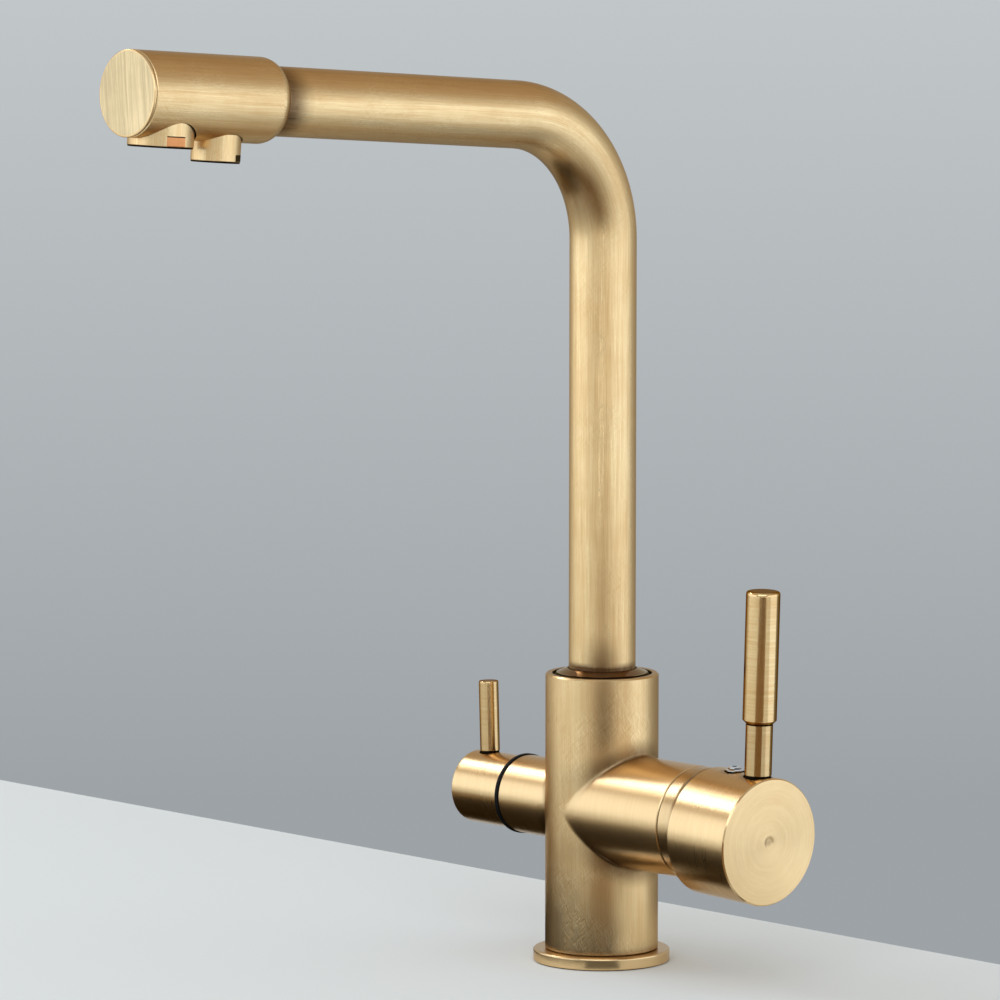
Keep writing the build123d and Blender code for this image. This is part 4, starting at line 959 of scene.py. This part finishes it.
def cut_hexagon(radius, angle, height):
    """The nut's radius: flat / cos(angle from the flat's middle), and a 60 degree chamfer at both ends."""
    corner = np.mod(angle + math.pi / 6, math.pi / 3) - math.pi / 6
    flat = NUT_FLAT / np.cos(corner)
    low = NUT_CHAMFER_R + TAN_60 * (height - NUT_LOW)
    high = NUT_CHAMFER_R + TAN_60 * (NUT_TOP - height)
    return np.where(radius > 20, np.minimum(np.minimum(flat, low), high), radius)


class TAP_OT_base(bpy.types.Operator):
    """Base flange, its gasket and the clamping set under the deck"""

    bl_idname = "tap.base"
    bl_label = "Base"

    def execute(self, context):
        shape = context.scene.tap_shape
        bore_r = FOOT_R + FIT
        flange = outline(
            (bore_r, FLANGE_LOW), (bore_r, FLANGE_TOP, 0.3), (FLANGE_R, FLANGE_TOP, 0.8),
            (FLANGE_R, FLANGE_LOW, 0.25), (GROOVE_OUTER_R, FLANGE_LOW), (GROOVE_OUTER_R, GROOVE_TOP),
            (GROOVE_INNER_R, GROOVE_TOP), (GROOVE_INNER_R, FLANGE_LOW), (bore_r, FLANGE_LOW),
        )
        gasket = washer_outline(GASKET_INNER_R, GASKET_OUTER_R, 0, GASKET_TOP)
        rubber = washer_outline(SHANK_SEAT_R, WASHER_R, -26.95, -24.0, 0.3)
        steel = washer_outline(SHANK_SEAT_R, WASHER_R, -28.95, -27.0, 0.3)
        for name, stands_for, section, slot, finish in (
            ("flange", "base_flange", flange, "brushed_gold", "Brushed Gold Spun"),
            ("gasket", "deck_gasket", gasket, "black_rubber", "Black Rubber"),
            ("rubber_washer", "clamp_rubber_washer", rubber, "black_rubber", "Black Rubber"),
            ("steel_washer", "clamp_steel_washer", steel, "steel", "Machined Steel"),
        ):
            make_piece(name, stands_for, [turned(UPRIGHT, section, shape.segments)], [finish], slot=slot)
        self.shank(shape.thread_pitch / MM)

        rows = (0.0, 0.4, 0.8, 1.2, 1.8)
        heights = [NUT_LOW + h for h in rows] + [(NUT_LOW + NUT_TOP) / 2] + [NUT_TOP - h for h in rows[::-1]]
        section = [(SHANK_SEAT_R, NUT_LOW), *((NUT_ROW_R, h) for h in heights), (SHANK_SEAT_R, NUT_TOP)]
        nut = turned(UPRIGHT, np.array(section + section[:1]), 120, squeeze=cut_hexagon)
        make_piece("clamp_nut_hex", "clamp_nut", [nut], ["Machined Brass"], slot="raw_brass", sharp=20.0)
        return {"FINISHED"}

    def shank(self, pitch):
        """The shank: its thread, its bore and the flat rings that close its two ends."""
        cut = partial(cut_thread, pitch=pitch)
        heights = np.linspace(SHANK_BOTTOM, SHANK_TOP, int((SHANK_TOP - SHANK_BOTTOM) / pitch * 6) + 1)
        angles = np.linspace(0, TURN, 97)
        outside = turned(UPRIGHT, joined(SHANK_R, heights), squeeze=cut)
        bore = turned(UPRIGHT, outline((SHANK_BORE_R, SHANK_BOTTOM), (SHANK_BORE_R, SHANK_TOP)))
        ends = []
        for height in (SHANK_TOP, SHANK_BOTTOM):
            rings = np.stack([cut(SHANK_R, angles, height), np.full(len(angles), SHANK_BORE_R)])
            local = joined(rings * np.cos(angles), rings * np.sin(angles), height)
            ends.append(dressed(UPRIGHT, local, angles[None, :], rings, SHANK_R))
        make_piece("shank", "threaded_shank", [outside, bore, *ends], ["Machined Brass"], slot="raw_brass")


class TAP_OT_mixer(bpy.types.Operator):
    """Ring behind the mixer handle, the handle's barrel, its plug, lever and grip"""

    bl_idname = "tap.mixer"
    bl_label = "Mixer handle"

    def execute(self, context):
        self.ring(context.scene.tap_shape.segments)
        self.barrel()
        self.plug()
        self.lever()
        return {"FINISHED"}

    def ring(self, count):
        """The ring carries the housing on and ends in a ball round the pivot: r^2 + (x - pivot)^2 = R^2."""
        meet = PIVOT_X + math.sqrt(DOME_R**2 - HOUSING_R**2)
        forth = np.linspace(meet, DOME_END, 14)[1:]
        back = np.linspace(DOME_END, PIVOT_X + 1.6, 12)
        ball = [(math.sqrt(DOME_R**2 - (x - PIVOT_X) ** 2), x) for x in forth]
        inside = [(math.sqrt((DOME_R - DOME_WALL) ** 2 - (x - PIVOT_X) ** 2), x) for x in back]
        section = outline(
            (RING_BORE_R, RING_BACK), (HOUSING_R - 0.6, RING_BACK), (HOUSING_R, 53.6), (HOUSING_R, meet),
            *ball, *inside, (RING_BORE_R, 56.55), (RING_BORE_R, RING_BACK),
        )
        ring = turned(MIXER, section, count)
        x = ring["points"][..., 0]
        # painted shade: a dark line at the ring's back edge, and shade growing towards the barrel's rim, which
        # overhangs the ring
        shade_and_patina_share = np.maximum(near(x - RING_BACK, 0.8), 0.15 + 0.85 * near(x - PIVOT_X - BARREL_RIM, 3.0))
        make_piece("dome", "dome_ring", [darkened(ring, shade_and_patina_share)], ["Brushed Gold Spun"])

    def barrel(self):
        """The barrel: a tube with seats for the plug and the lever, a turned face and a hollow behind."""
        window = math.radians(22)
        start, end = BARREL_RIM + BARREL_EDGE, BARREL_FACE - BARREL_EDGE
        around = spans((-window, window, TURN - window), (20, 92))
        along = spans((start, 10.5, 22.8, 35.9, end), (4, 18, 18, 1))
        button = (0.0, BUTTON_PLACE, BUTTON_SEAT_R)
        lever = (0.0, LEVER_PLACE, LEVER_HOLE_R)
        patches, rims, angles = pierced_wall(BARREL, BARREL_R, around, along, [button, lever])
        # painted shade round the seats of the plug and the lever
        for patch in patches:
            place = (patch["points"] - BARREL[0]) @ BARREL[1].T
            seats = [np.hypot(place[..., 1], place[..., 2] - height) - r for _, height, r in (button, lever)]
            darkened(patch, near(np.where(place[..., 0] > 0, np.minimum(*seats), 99.0), 2.5) * 0.6)
        # the seats' walls and floors are painted dark as shade
        for hole, floor in ((button, BUTTON_SEAT), (lever, LEVER_SEAT - 0.1)):
            patches.append(hole_wall(BARREL, BARREL_R, hole, rims[hole], [(hole[2], floor), (0, floor)], 2))
        dimple = BARREL_FACE - DIMPLE
        face = outline(
            (BARREL_R, end), (BARREL_R - BARREL_EDGE, BARREL_FACE), (DIMPLE_R, BARREL_FACE, 0.5),
            (1.4, dimple, 0.4), (0, dimple),
        )
        hollow = outline((BARREL_R, start), (BARREL_R - BARREL_EDGE, BARREL_RIM), *BARREL_STEPS)
        # a brownish painted reflection at the face's centre, where the rings' reflections meet
        face_shade = near(face[:, 0], 4.0)[:, None] * 0.45
        patches.append(darkened(turned(BARREL, face, angles=angles, finish=1), face_shade))
        patches.append(turned(BARREL, hollow, angles=angles))
        finishes = ["Brushed Gold Spun", "Spun Face", "Dark Joint And Painted Shade"]
        make_piece("handle_barrel", "mixer_barrel", patches, finishes, "mixer_handle")

    def plug(self):
        """The plug over the grub screw: eight facets, in bright tiers with grooves painted dark as shade
        between them.
        """
        tiers = (
            ((0, 18.8), (PLUG_STEM_R, 18.8), (PLUG_STEM_R, 22.75), (3.7, 22.75), (3.7, 24.2), (3.45, 24.2)),
            ((3.45, 24.2), (3.45, 24.5), (2.75, 24.95)),
            ((2.75, 24.95), (2.1, 24.95), (2.1, 25.1), (2.35, 25.1)),
            ((2.35, 25.1), (2.35, 25.4), (1.6, 25.8), (1.1, 25.8)),
            ((1.1, 25.8), (1.1, 25.3), (0, 25.3)),
        )
        patches = [turned(PLUG, outline(*tier, hold=9), 8, finish=(i + 1) % 2) for i, tier in enumerate(tiers)]
        finishes = ["Chrome", "Dark Joint And Painted Shade"]
        make_piece("plug_facets", "indicator_button", patches, finishes, "mixer_handle", "chrome", 15.0)

    def lever(self):
        """The lever's neck, which has a stud at each end, and its grip sleeve."""
        line, seat = LEVER_ROD_R - 0.2, LEVER_SEAT + FIT
        foot = ((0, LEVER_STUD), (STUD_R, LEVER_STUD), (STUD_R, seat), (line, seat), (line, 24.3))
        neck = ((line, 24.3), (LEVER_ROD_R, 24.6), (LEVER_ROD_R, 43.45))
        stud = ((LEVER_ROD_R, 43.45), (line, 43.55), (line, 43.9), (STUD_R, 43.9), (STUD_R, 73.9), (0, 73.9))
        # the band at the neck's foot is painted dark as shade, where it goes into the barrel
        patches = [
            turned(MIXER_LEVER, outline(*section), 64, finish=finish)
            for section, finish in ((foot, 1), (neck, 0), (stud, 1))
        ]
        # the neck is made a little darker all over
        darkened(patches[1], 0.22)
        make_piece("lever_neck", "mixer_lever_rod", patches, ["Turned Gold", "Dark Joint And Painted Shade"], "mixer_handle")
        bore_r, bore_top = STUD_R + FIT, 75.0
        grip = outline(
            (0, bore_top), (bore_r, bore_top), (bore_r, GRIP_START), (GRIP_R - 1.2, GRIP_START, 0.1),
            (GRIP_R, GRIP_START + 1.2, 0.1), (GRIP_R, GRIP_TOP, 1.3), (0, GRIP_TOP),
        )
        # painted shade: a dark top end and a dark line at the grip's lower edge
        shade_and_patina_share = np.where(grip[:, 1] > GRIP_TOP - 0.1, 0.85, near(grip[:, 1] - GRIP_START, 1.0))[:, None]
        sleeve = darkened(turned(MIXER_LEVER, grip, 72), shade_and_patina_share)
        make_piece("lever_grip", "mixer_lever_grip", [sleeve], ["Turned Gold"], "mixer_handle")


class TAP_OT_filter(bpy.types.Operator):
    """Dark joint ring, the filter handle's barrel and its lever"""

    bl_idname = "tap.filter"
    bl_label = "Filter handle"

    def execute(self, context):
        edge = context.scene.tap_shape.edge / MM
        ring = turned(FILTER, washer_outline(11.2, 15.4, STUB_END + FIT, 44.15, 0.35))
        make_piece("joint_ring", "filter_gap_ring", [ring], ["Black Plastic"], slot="black_plastic")

        window = math.radians(32)
        start, end = FILTER_BARREL_RIM + edge, FILTER_BARREL_END - FILTER_BARREL_EDGE
        stops = (-window, window, math.pi - window, math.pi + window, TURN - window)
        around = spans(stops, (20, 28, 20, 28))
        along = spans((start, 52.0, 58.4, 58.8, 67.6, end), (4, 12, 1, 14, 3))
        lever = (0.0, FILTER_ROD_PLACE + 0.45, FILTER_HOLE_R)
        screw = (math.pi, FILTER_SCREW_PLACE, FILTER_SCREW_R)
        patches, rims, angles = pierced_wall(FILTER, FILTER_BARREL_R, around, along, [lever, screw])
        # the lever's seat is painted dark as shade
        for hole, floor, finish in ((lever, FILTER_ROD_SEAT + 2, 1), (screw, FILTER_SCREW_DEPTH, 0)):
            steps = [(hole[2], floor), (0, floor)]
            patches.append(hole_wall(FILTER, FILTER_BARREL_R, hole, rims[hole], steps, finish))
        rounded = (FILTER_BARREL_R, FILTER_BARREL_END, FILTER_BARREL_EDGE)
        face = outline((FILTER_BARREL_R, end), rounded, (0, FILTER_BARREL_END))
        rim = (FILTER_BARREL_R - edge, FILTER_BARREL_RIM)
        hollow = outline((FILTER_BARREL_R, start), rim, *FILTER_BARREL_STEPS)
        patches += [turned(FILTER, section, angles=angles) for section in (face, hollow)]
        finishes = ["Brushed Gold Spun", "Dark Joint And Painted Shade"]
        make_piece("filter_handle_barrel", "filter_barrel", patches, finishes, "filter_handle")

        line, top = FILTER_ROD_R - 0.2, FILTER_ROD_TOP
        foot = outline((0, FILTER_ROD_SEAT), (line, FILTER_ROD_SEAT), (line, 14.3))
        rod = outline((line, 14.3), (FILTER_ROD_R, 14.6), (FILTER_ROD_R, top, 0.8), (0, top))
        # painted shade: the rod's top end dark and the rest a little darker; its foot is painted dark as shade
        shade_and_patina_share = np.where(rod[:, 1] > top - 0.1, 0.8, 0.25)[:, None]
        patches = [darkened(turned(FILTER_LEVER, rod, 64), shade_and_patina_share), turned(FILTER_LEVER, foot, 64, finish=1)]
        make_piece("filter_lever", "filter_lever_rod", patches, ["Turned Gold", "Dark Joint And Painted Shade"], "filter_handle")
        return {"FINISHED"}


def pipe_shade(path, outer):
    """The pipe's painted shade: a ring and uneven streaks at its foot, a ring at the head, and inside the
    bend.
    """
    low = path[:, 2] - COLUMN_TOP
    turn = np.arctan2(outer[..., 1], outer[..., 0])
    streaks = (0.5 + 0.5 * np.cos(3 * turn + math.radians(126))) ** 1.5
    foot = np.maximum(near(low - 1.5, 17.0)[:, None] * streaks * 0.9, near(low - 2.4, 3.2)[:, None] * 1.3)
    foot = foot * (path[:, 2] < 200)[:, None]
    out = path[:, 1] / ARM_ALONG[1]
    head = near(HEAD_STRAIGHT - 6.0 - out, 12.0)[:, None]
    inward = (outer - path[:, None, :]) @ (np.array([0.0, -1.0, -1.0]) / math.sqrt(2))
    reach = np.linalg.norm(path - BEND_SHADE_PLACE, axis=1)
    bend = near(reach, 36.0)[:, None] * np.clip((inward / PIPE_R + 0.35) / 1.2, 0, 1) ** 1.3
    return np.maximum(np.maximum(foot, head) * 0.95, bend * 0.75)


def nozzle_shell(place, outer_r, thread_r, ceiling, neck, bottom, bore_r, turn, depth, high):
    """A nozzle's shell: a turned tube with two spanner flats, whose radius is min(R, flat / cos(a - centre)).

    All heights run down from the arm's axis. Its finishes are 0 brushed, 1 the flats, 2 dark lines: a dark
    lip, and the shade under each flat's top painted dark.
    """
    flat = outer_r - depth
    half = math.acos(flat / outer_r)
    first = math.radians(turn)
    top, low = bottom - high, bottom - 0.65
    stops = (first - half, first + half, first + math.pi - half, first + math.pi + half, first + TURN - half)
    inside = outline(
        (outer_r - 0.4, bottom), (bore_r, bottom, 0.2), (bore_r, neck + 1.2), (bore_r - 1.2, neck + 1.2),
        (bore_r - 1.2, neck), (thread_r, neck), (thread_r, ceiling + 0.3), (outer_r, ceiling + 0.3, 0.2),
        (outer_r, top),
    )
    heights = (top, top + 0.4, bottom - 0.9, bottom - 0.8)
    skirt = np.array([(outer_r, height) for height in heights] + [(outer_r - 0.15, low)])
    lip = outline((outer_r - 0.15, low), (outer_r - 0.15, bottom - 0.15), (outer_r - 0.4, bottom))
    patches = []
    for i, (start, end, count) in enumerate(spans(stops, (10, 34, 10, 34))):
        angles = np.linspace(start, end, count + 1)
        patches.append(turned(place, lip, angles=angles, finish=2))
        body = turned(place, inside, angles=angles, brush="long")
        if i % 2:
            patches += [turned(place, skirt, angles=angles, brush="long"), body]
            continue
        centre = first if i == 0 else first + math.pi

        def cut(radius, angle, height, centre=centre):
            return np.minimum(radius, flat / np.cos(angle - centre))

        shadow = turned(place, skirt[:2], angles=angles, brush="long", squeeze=cut, finish=2)
        flat_face = turned(place, skirt[1:3], angles=angles, brush="long", squeeze=cut, finish=1)
        sill = turned(place, skirt[-2:], angles=angles, brush="long")
        ledges = []
        for upper, lower, finish in ((body, shadow, 2), (flat_face, sill, 0)):
            # a ledge joins a flat's edge to the round part beside it
            ledge = turned(place, skirt[[0, 0]], angles=angles, finish=finish)
            ledge["points"] = np.stack([upper["points"][-1], lower["points"][0]])
            ledges.append(ledge)
        patches += [shadow, flat_face, *ledges, sill, body]
    return patches


class TAP_OT_spout(bpy.types.Operator):
    """Collar, bent pipe, and the spout head with its end cap and two nozzle shells"""

    bl_idname = "tap.spout"
    bl_label = "Spout"

    def execute(self, context):
        shape = context.scene.tap_shape
        self.collar(shape.segments)
        self.pipe(shape.segments)
        self.head(shape.edge / MM)
        self.end_cap(shape.segments)
        main = nozzle_shell(
            MAIN_NOZZLE, outer_r=11.9, thread_r=10.9, ceiling=9.0, neck=7.5, bottom=18.7, bore_r=9.6,
            turn=10.0, depth=0.6, high=4.4,
        )
        filtered = nozzle_shell(
            FILTER_NOZZLE, outer_r=9.0, thread_r=7.5, ceiling=12.3, neck=9.2, bottom=23.1, bore_r=6.7,
            turn=-33.0, depth=0.5, high=3.2,
        )
        # the filter nozzle's flats are painted dark as shade
        for name, stands_for, patches, flats in (
            ("main_nozzle", "main_aerator_housing", main, "Bare Copper"),
            ("filter_nozzle", "filter_nozzle_housing", filtered, "Dark Joint And Painted Shade"),
        ):
            make_piece(name, stands_for, patches, ["Brushed Gold Drawn", flats, "Dark Joint And Painted Shade"], "spout")
        return {"FINISHED"}

    def collar(self, count):
        """The collar: a polished dish over a dark shoulder, and a bore painted dark as shade."""
        base = (COLLAR_R, COLLAR_FOOT)
        dish = ((17.3, 110.8, 0.1), (16.7, 110.9, 0.2), (13.4, 112.4, 0.2), (13.3, 112.4))
        shoulder = (base, (COLLAR_R, 110.1, 0.1), (17.3, 110.8))
        bore = ((13.3, 112.4), (12.75, 112.2), (12.75, 106.1), (14.55, 106.1), (14.55, COLLAR_FOOT), base)
        patches = [
            turned(UPRIGHT, outline(*section), count, finish=finish)
            for section, finish in ((dish, 0), (shoulder, 1), (bore, 1))
        ]
        finishes = ["Polished Collar", "Dark Joint And Painted Shade"]
        make_piece("collar", "spout_collar", patches, finishes, "spout", "polished_gold")

    def pipe(self, count):
        """The pipe: its outer and inner walls, and a ring that joins them at each end."""
        path, tangents = spout_path()
        outer = swept_ring(PIPE_R, path, tangents, count)
        inner = swept_ring(PIPE_R - PIPE_WALL, path, tangents, count)
        # the pipe's outer wall gets its painted shade
        darkened(outer, pipe_shade(path, outer["points"]))
        ends = [
            patch_of(*(np.stack([outer[key][i], inner[key][i]]) for key in ("points", "grain", "uv")))
            for i in (0, -1)
        ]
        make_piece("pipe", "spout_pipe", [outer, inner, *ends], ["Brushed Gold Drawn"], "spout")

    def head(self, edge):
        """The head: a tube with a pocket for each nozzle, a round shoulder, a seat for the pipe, a front."""
        split = math.radians(72)
        around = spans((-split, split, TURN - split), (48, 64))
        along = spans((HEAD_STRAIGHT, 177.0, 199.7, 228.6, HEAD_FRONT - edge), (5, 26, 32, 1))
        main = (0.0, MAIN_PLACE, MAIN_POCKET_R)
        filtered = (0.0, FILTER_PLACE, FILTER_POCKET_R)
        patches, rims, angles = pierced_wall(ARM, HEAD_R, around, along, [main, filtered], "long")
        # the pockets' walls and the seat for the pipe are painted dark as shade
        for hole, steps in ((main, MAIN_POCKET_STEPS), (filtered, FILTER_POCKET_STEPS)):
            patches.append(hole_wall(ARM, HEAD_R, hole, rims[hole], steps, finish=1))
        seat_r, mouth_r = PIPE_R + FIT, PIPE_R + 0.65
        t = np.linspace(math.asin((mouth_r - HEAD_R + HEAD_SHOULDER) / HEAD_SHOULDER), math.pi / 2, 12)
        shoulder_r = HEAD_R - HEAD_SHOULDER + HEAD_SHOULDER * np.sin(t)
        shoulder = joined(shoulder_r, HEAD_STRAIGHT - HEAD_SHOULDER * np.cos(t))
        seat = outline((0, 178.0), (seat_r, 178.0), (seat_r, 169.0), (mouth_r, 169.0), tuple(shoulder[0]))
        front = outline((HEAD_R, HEAD_FRONT - edge), (HEAD_R - edge, HEAD_FRONT), (0, HEAD_FRONT))
        patches.append(turned(ARM, seat, angles=angles, finish=1))
        patches += [turned(ARM, section, angles=angles, brush="long") for section in (shoulder, front)]
        make_piece("head", "spout_head", patches, ["Brushed Gold Drawn", "Dark Joint And Painted Shade"], "spout")

    def end_cap(self, count):
        """The end cap: a round side, a straight brushed face and a back painted dark as shade."""
        inset_r, rim_r, back = HEAD_R - 0.5, HEAD_R - 0.7, HEAD_FRONT + 0.4
        side = outline((inset_r, back), (HEAD_R, HEAD_FRONT + 0.5), (HEAD_R, CAP_FACE, 0.6), (rim_r, CAP_FACE))
        face = outline((rim_r, CAP_FACE), (0, CAP_FACE))
        rear = outline((0, HEAD_FRONT + FIT), (inset_r, HEAD_FRONT + FIT), (inset_r, back))
        patches = [
            turned(ARM, side, count),
            turned(ARM, face, count, brush="straight", lean=math.radians(10), finish=1),
            turned(ARM, rear, count, finish=2),
        ]
        finishes = ["Brushed Gold Drawn", "Brushed Cap", "Dark Joint And Painted Shade"]
        make_piece("end_cap", "head_end_cap", patches, finishes, "spout")


def on_circle(radius, angles):
    """Points round the tap: radius (cos a, sin a), in metres."""
    return [(radius * math.cos(a), radius * math.sin(a)) for a in angles]


def sector(half, near_r, far_r, turn=0.0):
    """A piece of a ring on the floor in front of the tap, as seen from the camera."""
    ahead = CAMERA_AZIMUTH - math.pi / 2
    sides = np.radians([-half, -half / 2, 0, half / 2, half]) + ahead + math.radians(turn)
    return on_circle(near_r, sides) + on_circle(far_r, sides[::-1])


class TAP_OT_stage(bpy.types.Operator):
    """Pale floor, soft lights, the wall's colour and the camera"""

    bl_idname = "tap.stage"
    bl_label = "Stage"

    def execute(self, context):
        stage = context.scene.tap_stage
        context.scene.view_settings.view_transform = "Standard"
        level = math.cos(CAMERA_ELEVATION)
        back = Vector(
            (math.sin(CAMERA_AZIMUTH) * level, -math.cos(CAMERA_AZIMUTH) * level, math.sin(CAMERA_ELEVATION))
        )
        right = Vector((math.cos(CAMERA_AZIMUTH), math.sin(CAMERA_AZIMUTH), 0))
        self.walls(context.scene, stage)
        self.floor(context.scene, stage)
        self.camera(context.scene, back, right)
        self.flags(context.scene)
        self.lamps(context.scene, stage, Vector((back.x, back.y, 0)).normalized(), right)
        return {"FINISHED"}

    def walls(self, scene, stage):
        """The world: tones that change with the height looked at, low wall, wall, ceiling and wall again."""
        world = bpy.data.worlds.new("Studio")
        scene.world = world
        world.use_nodes = True
        tree = world.node_tree
        look = node(tree, "TexCoord").outputs["Generated"]
        height = node(tree, "SeparateXYZ", Vector=look).outputs["Z"]
        tone = tuple(stage.low_wall)
        for ends, colour in (
            (LOW_WALL_EDGE, stage.wall),
            (CEILING_EDGE, stage.ceiling),
            (HIGH_WALL_EDGE, stage.wall),
        ):
            tone = blend_colour(tree, ramp(tree, height, *ends), tone, tuple(colour))
        fill(tree, tree.nodes["Background"], Color=tone)

    def floor(self, scene, stage):
        """The floor, a plate with a round hole for the shank: rings from the hole out to a box."""
        material, tree, shader = blank("Floor")
        fill(tree, shader, Base_Color=stage.floor, Roughness=0.8, Specular_IOR_Level=0.0)
        a = np.linspace(0, TURN, 161)
        direction = joined(np.cos(a), np.sin(a))
        box = np.array(FLOOR_BOX)
        with np.errstate(divide="ignore"):
            reach = np.where(direction > 0, box[1] / direction, box[0] / direction)
        t = np.linspace(0, 1, 12)[:, None] ** 2
        radius = FLOOR_HOLE_R * (1 - t) + np.abs(reach).min(1) * t
        points = joined(radius * np.cos(a), radius * np.sin(a), 0.0)
        faces = grid_faces(*radius.shape)[:, ::-1]
        mesh = bpy.data.meshes.new("floor")
        mesh.from_pydata(points.reshape(-1, 3).tolist(), [], faces.tolist())
        mesh.materials.append(material)
        floor = bpy.data.objects.new("floor", mesh)
        scene.collection.objects.link(floor)

    def camera(self, scene, back, right):
        """The camera, from its target backwards along its line of sight."""
        data = bpy.data.cameras.new("Camera")
        data.lens = CAMERA_LENS
        data.sensor_width = 36.0
        data.clip_end = 50.0
        camera = bpy.data.objects.new("Camera", data)
        scene.collection.objects.link(camera)
        place = right * TARGET_RIGHT + Vector((0, 0, TARGET_Z)) + back * CAMERA_DISTANCE
        turn = Matrix((right, back.cross(right), back)).transposed().to_4x4()
        camera.matrix_world = Matrix.Translation(place) @ turn @ Matrix.Rotation(CAMERA_ROLL, 4, "Z")
        scene.camera = camera

    def flags(self, scene):
        """Dark and brown flags and a light card lie on the floor, and only their reflections show."""
        between = [(-0.20, 0.03), (-0.20, -0.08), (-0.12, -0.17), (-0.01, -0.20)]
        beside = between + [(0.10, -0.06), (0.10, 0.0)]
        beside += on_circle(0.036, np.radians([-30, -60, -90, -130, -170])) + [(-0.036, 0.03)]
        beyond = [(-0.6, 0.03), (-0.6, -0.09), (-0.20, -0.22), (-0.02, -0.26)] + between[::-1]
        for name, lift, border, tone in (
            ("dark_flag", 0.0009, beside, (0.02, 0.013, 0.005)),
            ("shade_flag", 0.0006, beyond, (0.17, 0.105, 0.04)),
            ("near_flag", 0.0006, sector(17, 0.028, 0.10), (0.015, 0.01, 0.004)),
            ("brown_flag", 0.0006, sector(25, 0.10, 0.85), (0.22, 0.13, 0.05)),
            ("far_flag", 0.0006, sector(20, 0.85, 1.12), (0.015, 0.01, 0.005)),
            ("grip_flag", 0.0006, sector(9, 1.12, 1.38, 2.5), (0.015, 0.01, 0.005)),
            ("light_card", 0.0006, sector(28, 1.55, 2.6), (2.0, 1.95, 1.85)),
        ):
            material, tree, shader = blank(name.replace("_", " ").title())
            fill(tree, shader, Base_Color=(0, 0, 0), Roughness=1.0, Specular_IOR_Level=0.0)
            fill(tree, shader, Emission_Color=tone, Emission_Strength=1.0)
            mesh = bpy.data.meshes.new(name)
            mesh.from_pydata([(x, y, lift) for x, y in border], [], [tuple(range(len(border)))])
            mesh.materials.append(material)
            flag = bpy.data.objects.new(name, mesh)
            scene.collection.objects.link(flag)
            flag.visible_camera = flag.visible_diffuse = flag.visible_shadow = False

    def lamps(self, scene, stage, backward, right):
        """Soft lamps: angle from the camera's side in degrees, distance and heights in metres, size, power."""
        for name, angle, distance, height, aim, wide, tall, watts in (
            ("left_softbox", -86, 1.5, 0.42, 0.42, 2.6, 0.90, stage.left_light),
            ("front_softbox", -8, 2.2, 1.50, 0.10, 2.6, 1.40, stage.front_light),
            ("right_softbox", 65, 1.5, 0.08, 0.08, 2.3, 1.60, stage.right_light),
            ("strip_light", -118, 1.02, 1.02, 0.06, 0.8, 0.14, stage.strip_light),
        ):
            lamp = bpy.data.lights.new(name, "AREA")
            lamp.shape = "RECTANGLE"
            lamp.size, lamp.size_y = wide, tall
            lamp.energy = watts
            lamp.color = stage.lamp
            source = bpy.data.objects.new(name, lamp)
            scene.collection.objects.link(source)
            side = math.radians(angle)
            sideways = right * math.sin(side) + backward * math.cos(side)
            source.location = sideways * distance + Vector((0, 0, height))
            direction = source.location - Vector((0, 0, aim))
            source.rotation_euler = direction.to_track_quat("Z", "Y").to_euler()
            source.visible_camera = False


class TAP_PT_panel(bpy.types.Panel):
    """The tap's steps and settings"""

    bl_idname = "TAP_PT_panel"
    bl_label = "Kitchen Tap"
    bl_space_type = "VIEW_3D"
    bl_region_type = "UI"
    bl_category = "Tap"

    def draw(self, context):
        for group in (context.scene.tap_shape, context.scene.tap_finish, context.scene.tap_stage):
            for name in group.__annotations__:
                self.layout.prop(group, name)
        for step in STEPS:
            self.layout.operator(step.bl_idname)


STEPS = (TAP_OT_finishes, TAP_OT_column, TAP_OT_base, TAP_OT_mixer, TAP_OT_filter, TAP_OT_spout, TAP_OT_stage)
CLASSES = (TapShape, TapFinish, TapStage, *STEPS, TAP_PT_panel)


def register():
    for item in CLASSES:
        bpy.utils.register_class(item)
    bpy.types.Scene.tap_shape = PointerProperty(type=TapShape)
    bpy.types.Scene.tap_finish = PointerProperty(type=TapFinish)
    bpy.types.Scene.tap_stage = PointerProperty(type=TapStage)


def unregister():
    del bpy.types.Scene.tap_stage
    del bpy.types.Scene.tap_finish
    del bpy.types.Scene.tap_shape
    for item in reversed(CLASSES):
        bpy.utils.unregister_class(item)


def main():
    register()
    bpy.ops.tap.finishes()
    bpy.ops.tap.column()
    bpy.ops.tap.base()
    bpy.ops.tap.mixer()
    bpy.ops.tap.filter()
    bpy.ops.tap.spout()
    bpy.ops.tap.stage()
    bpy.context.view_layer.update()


if __name__ == "__main__":
    main()
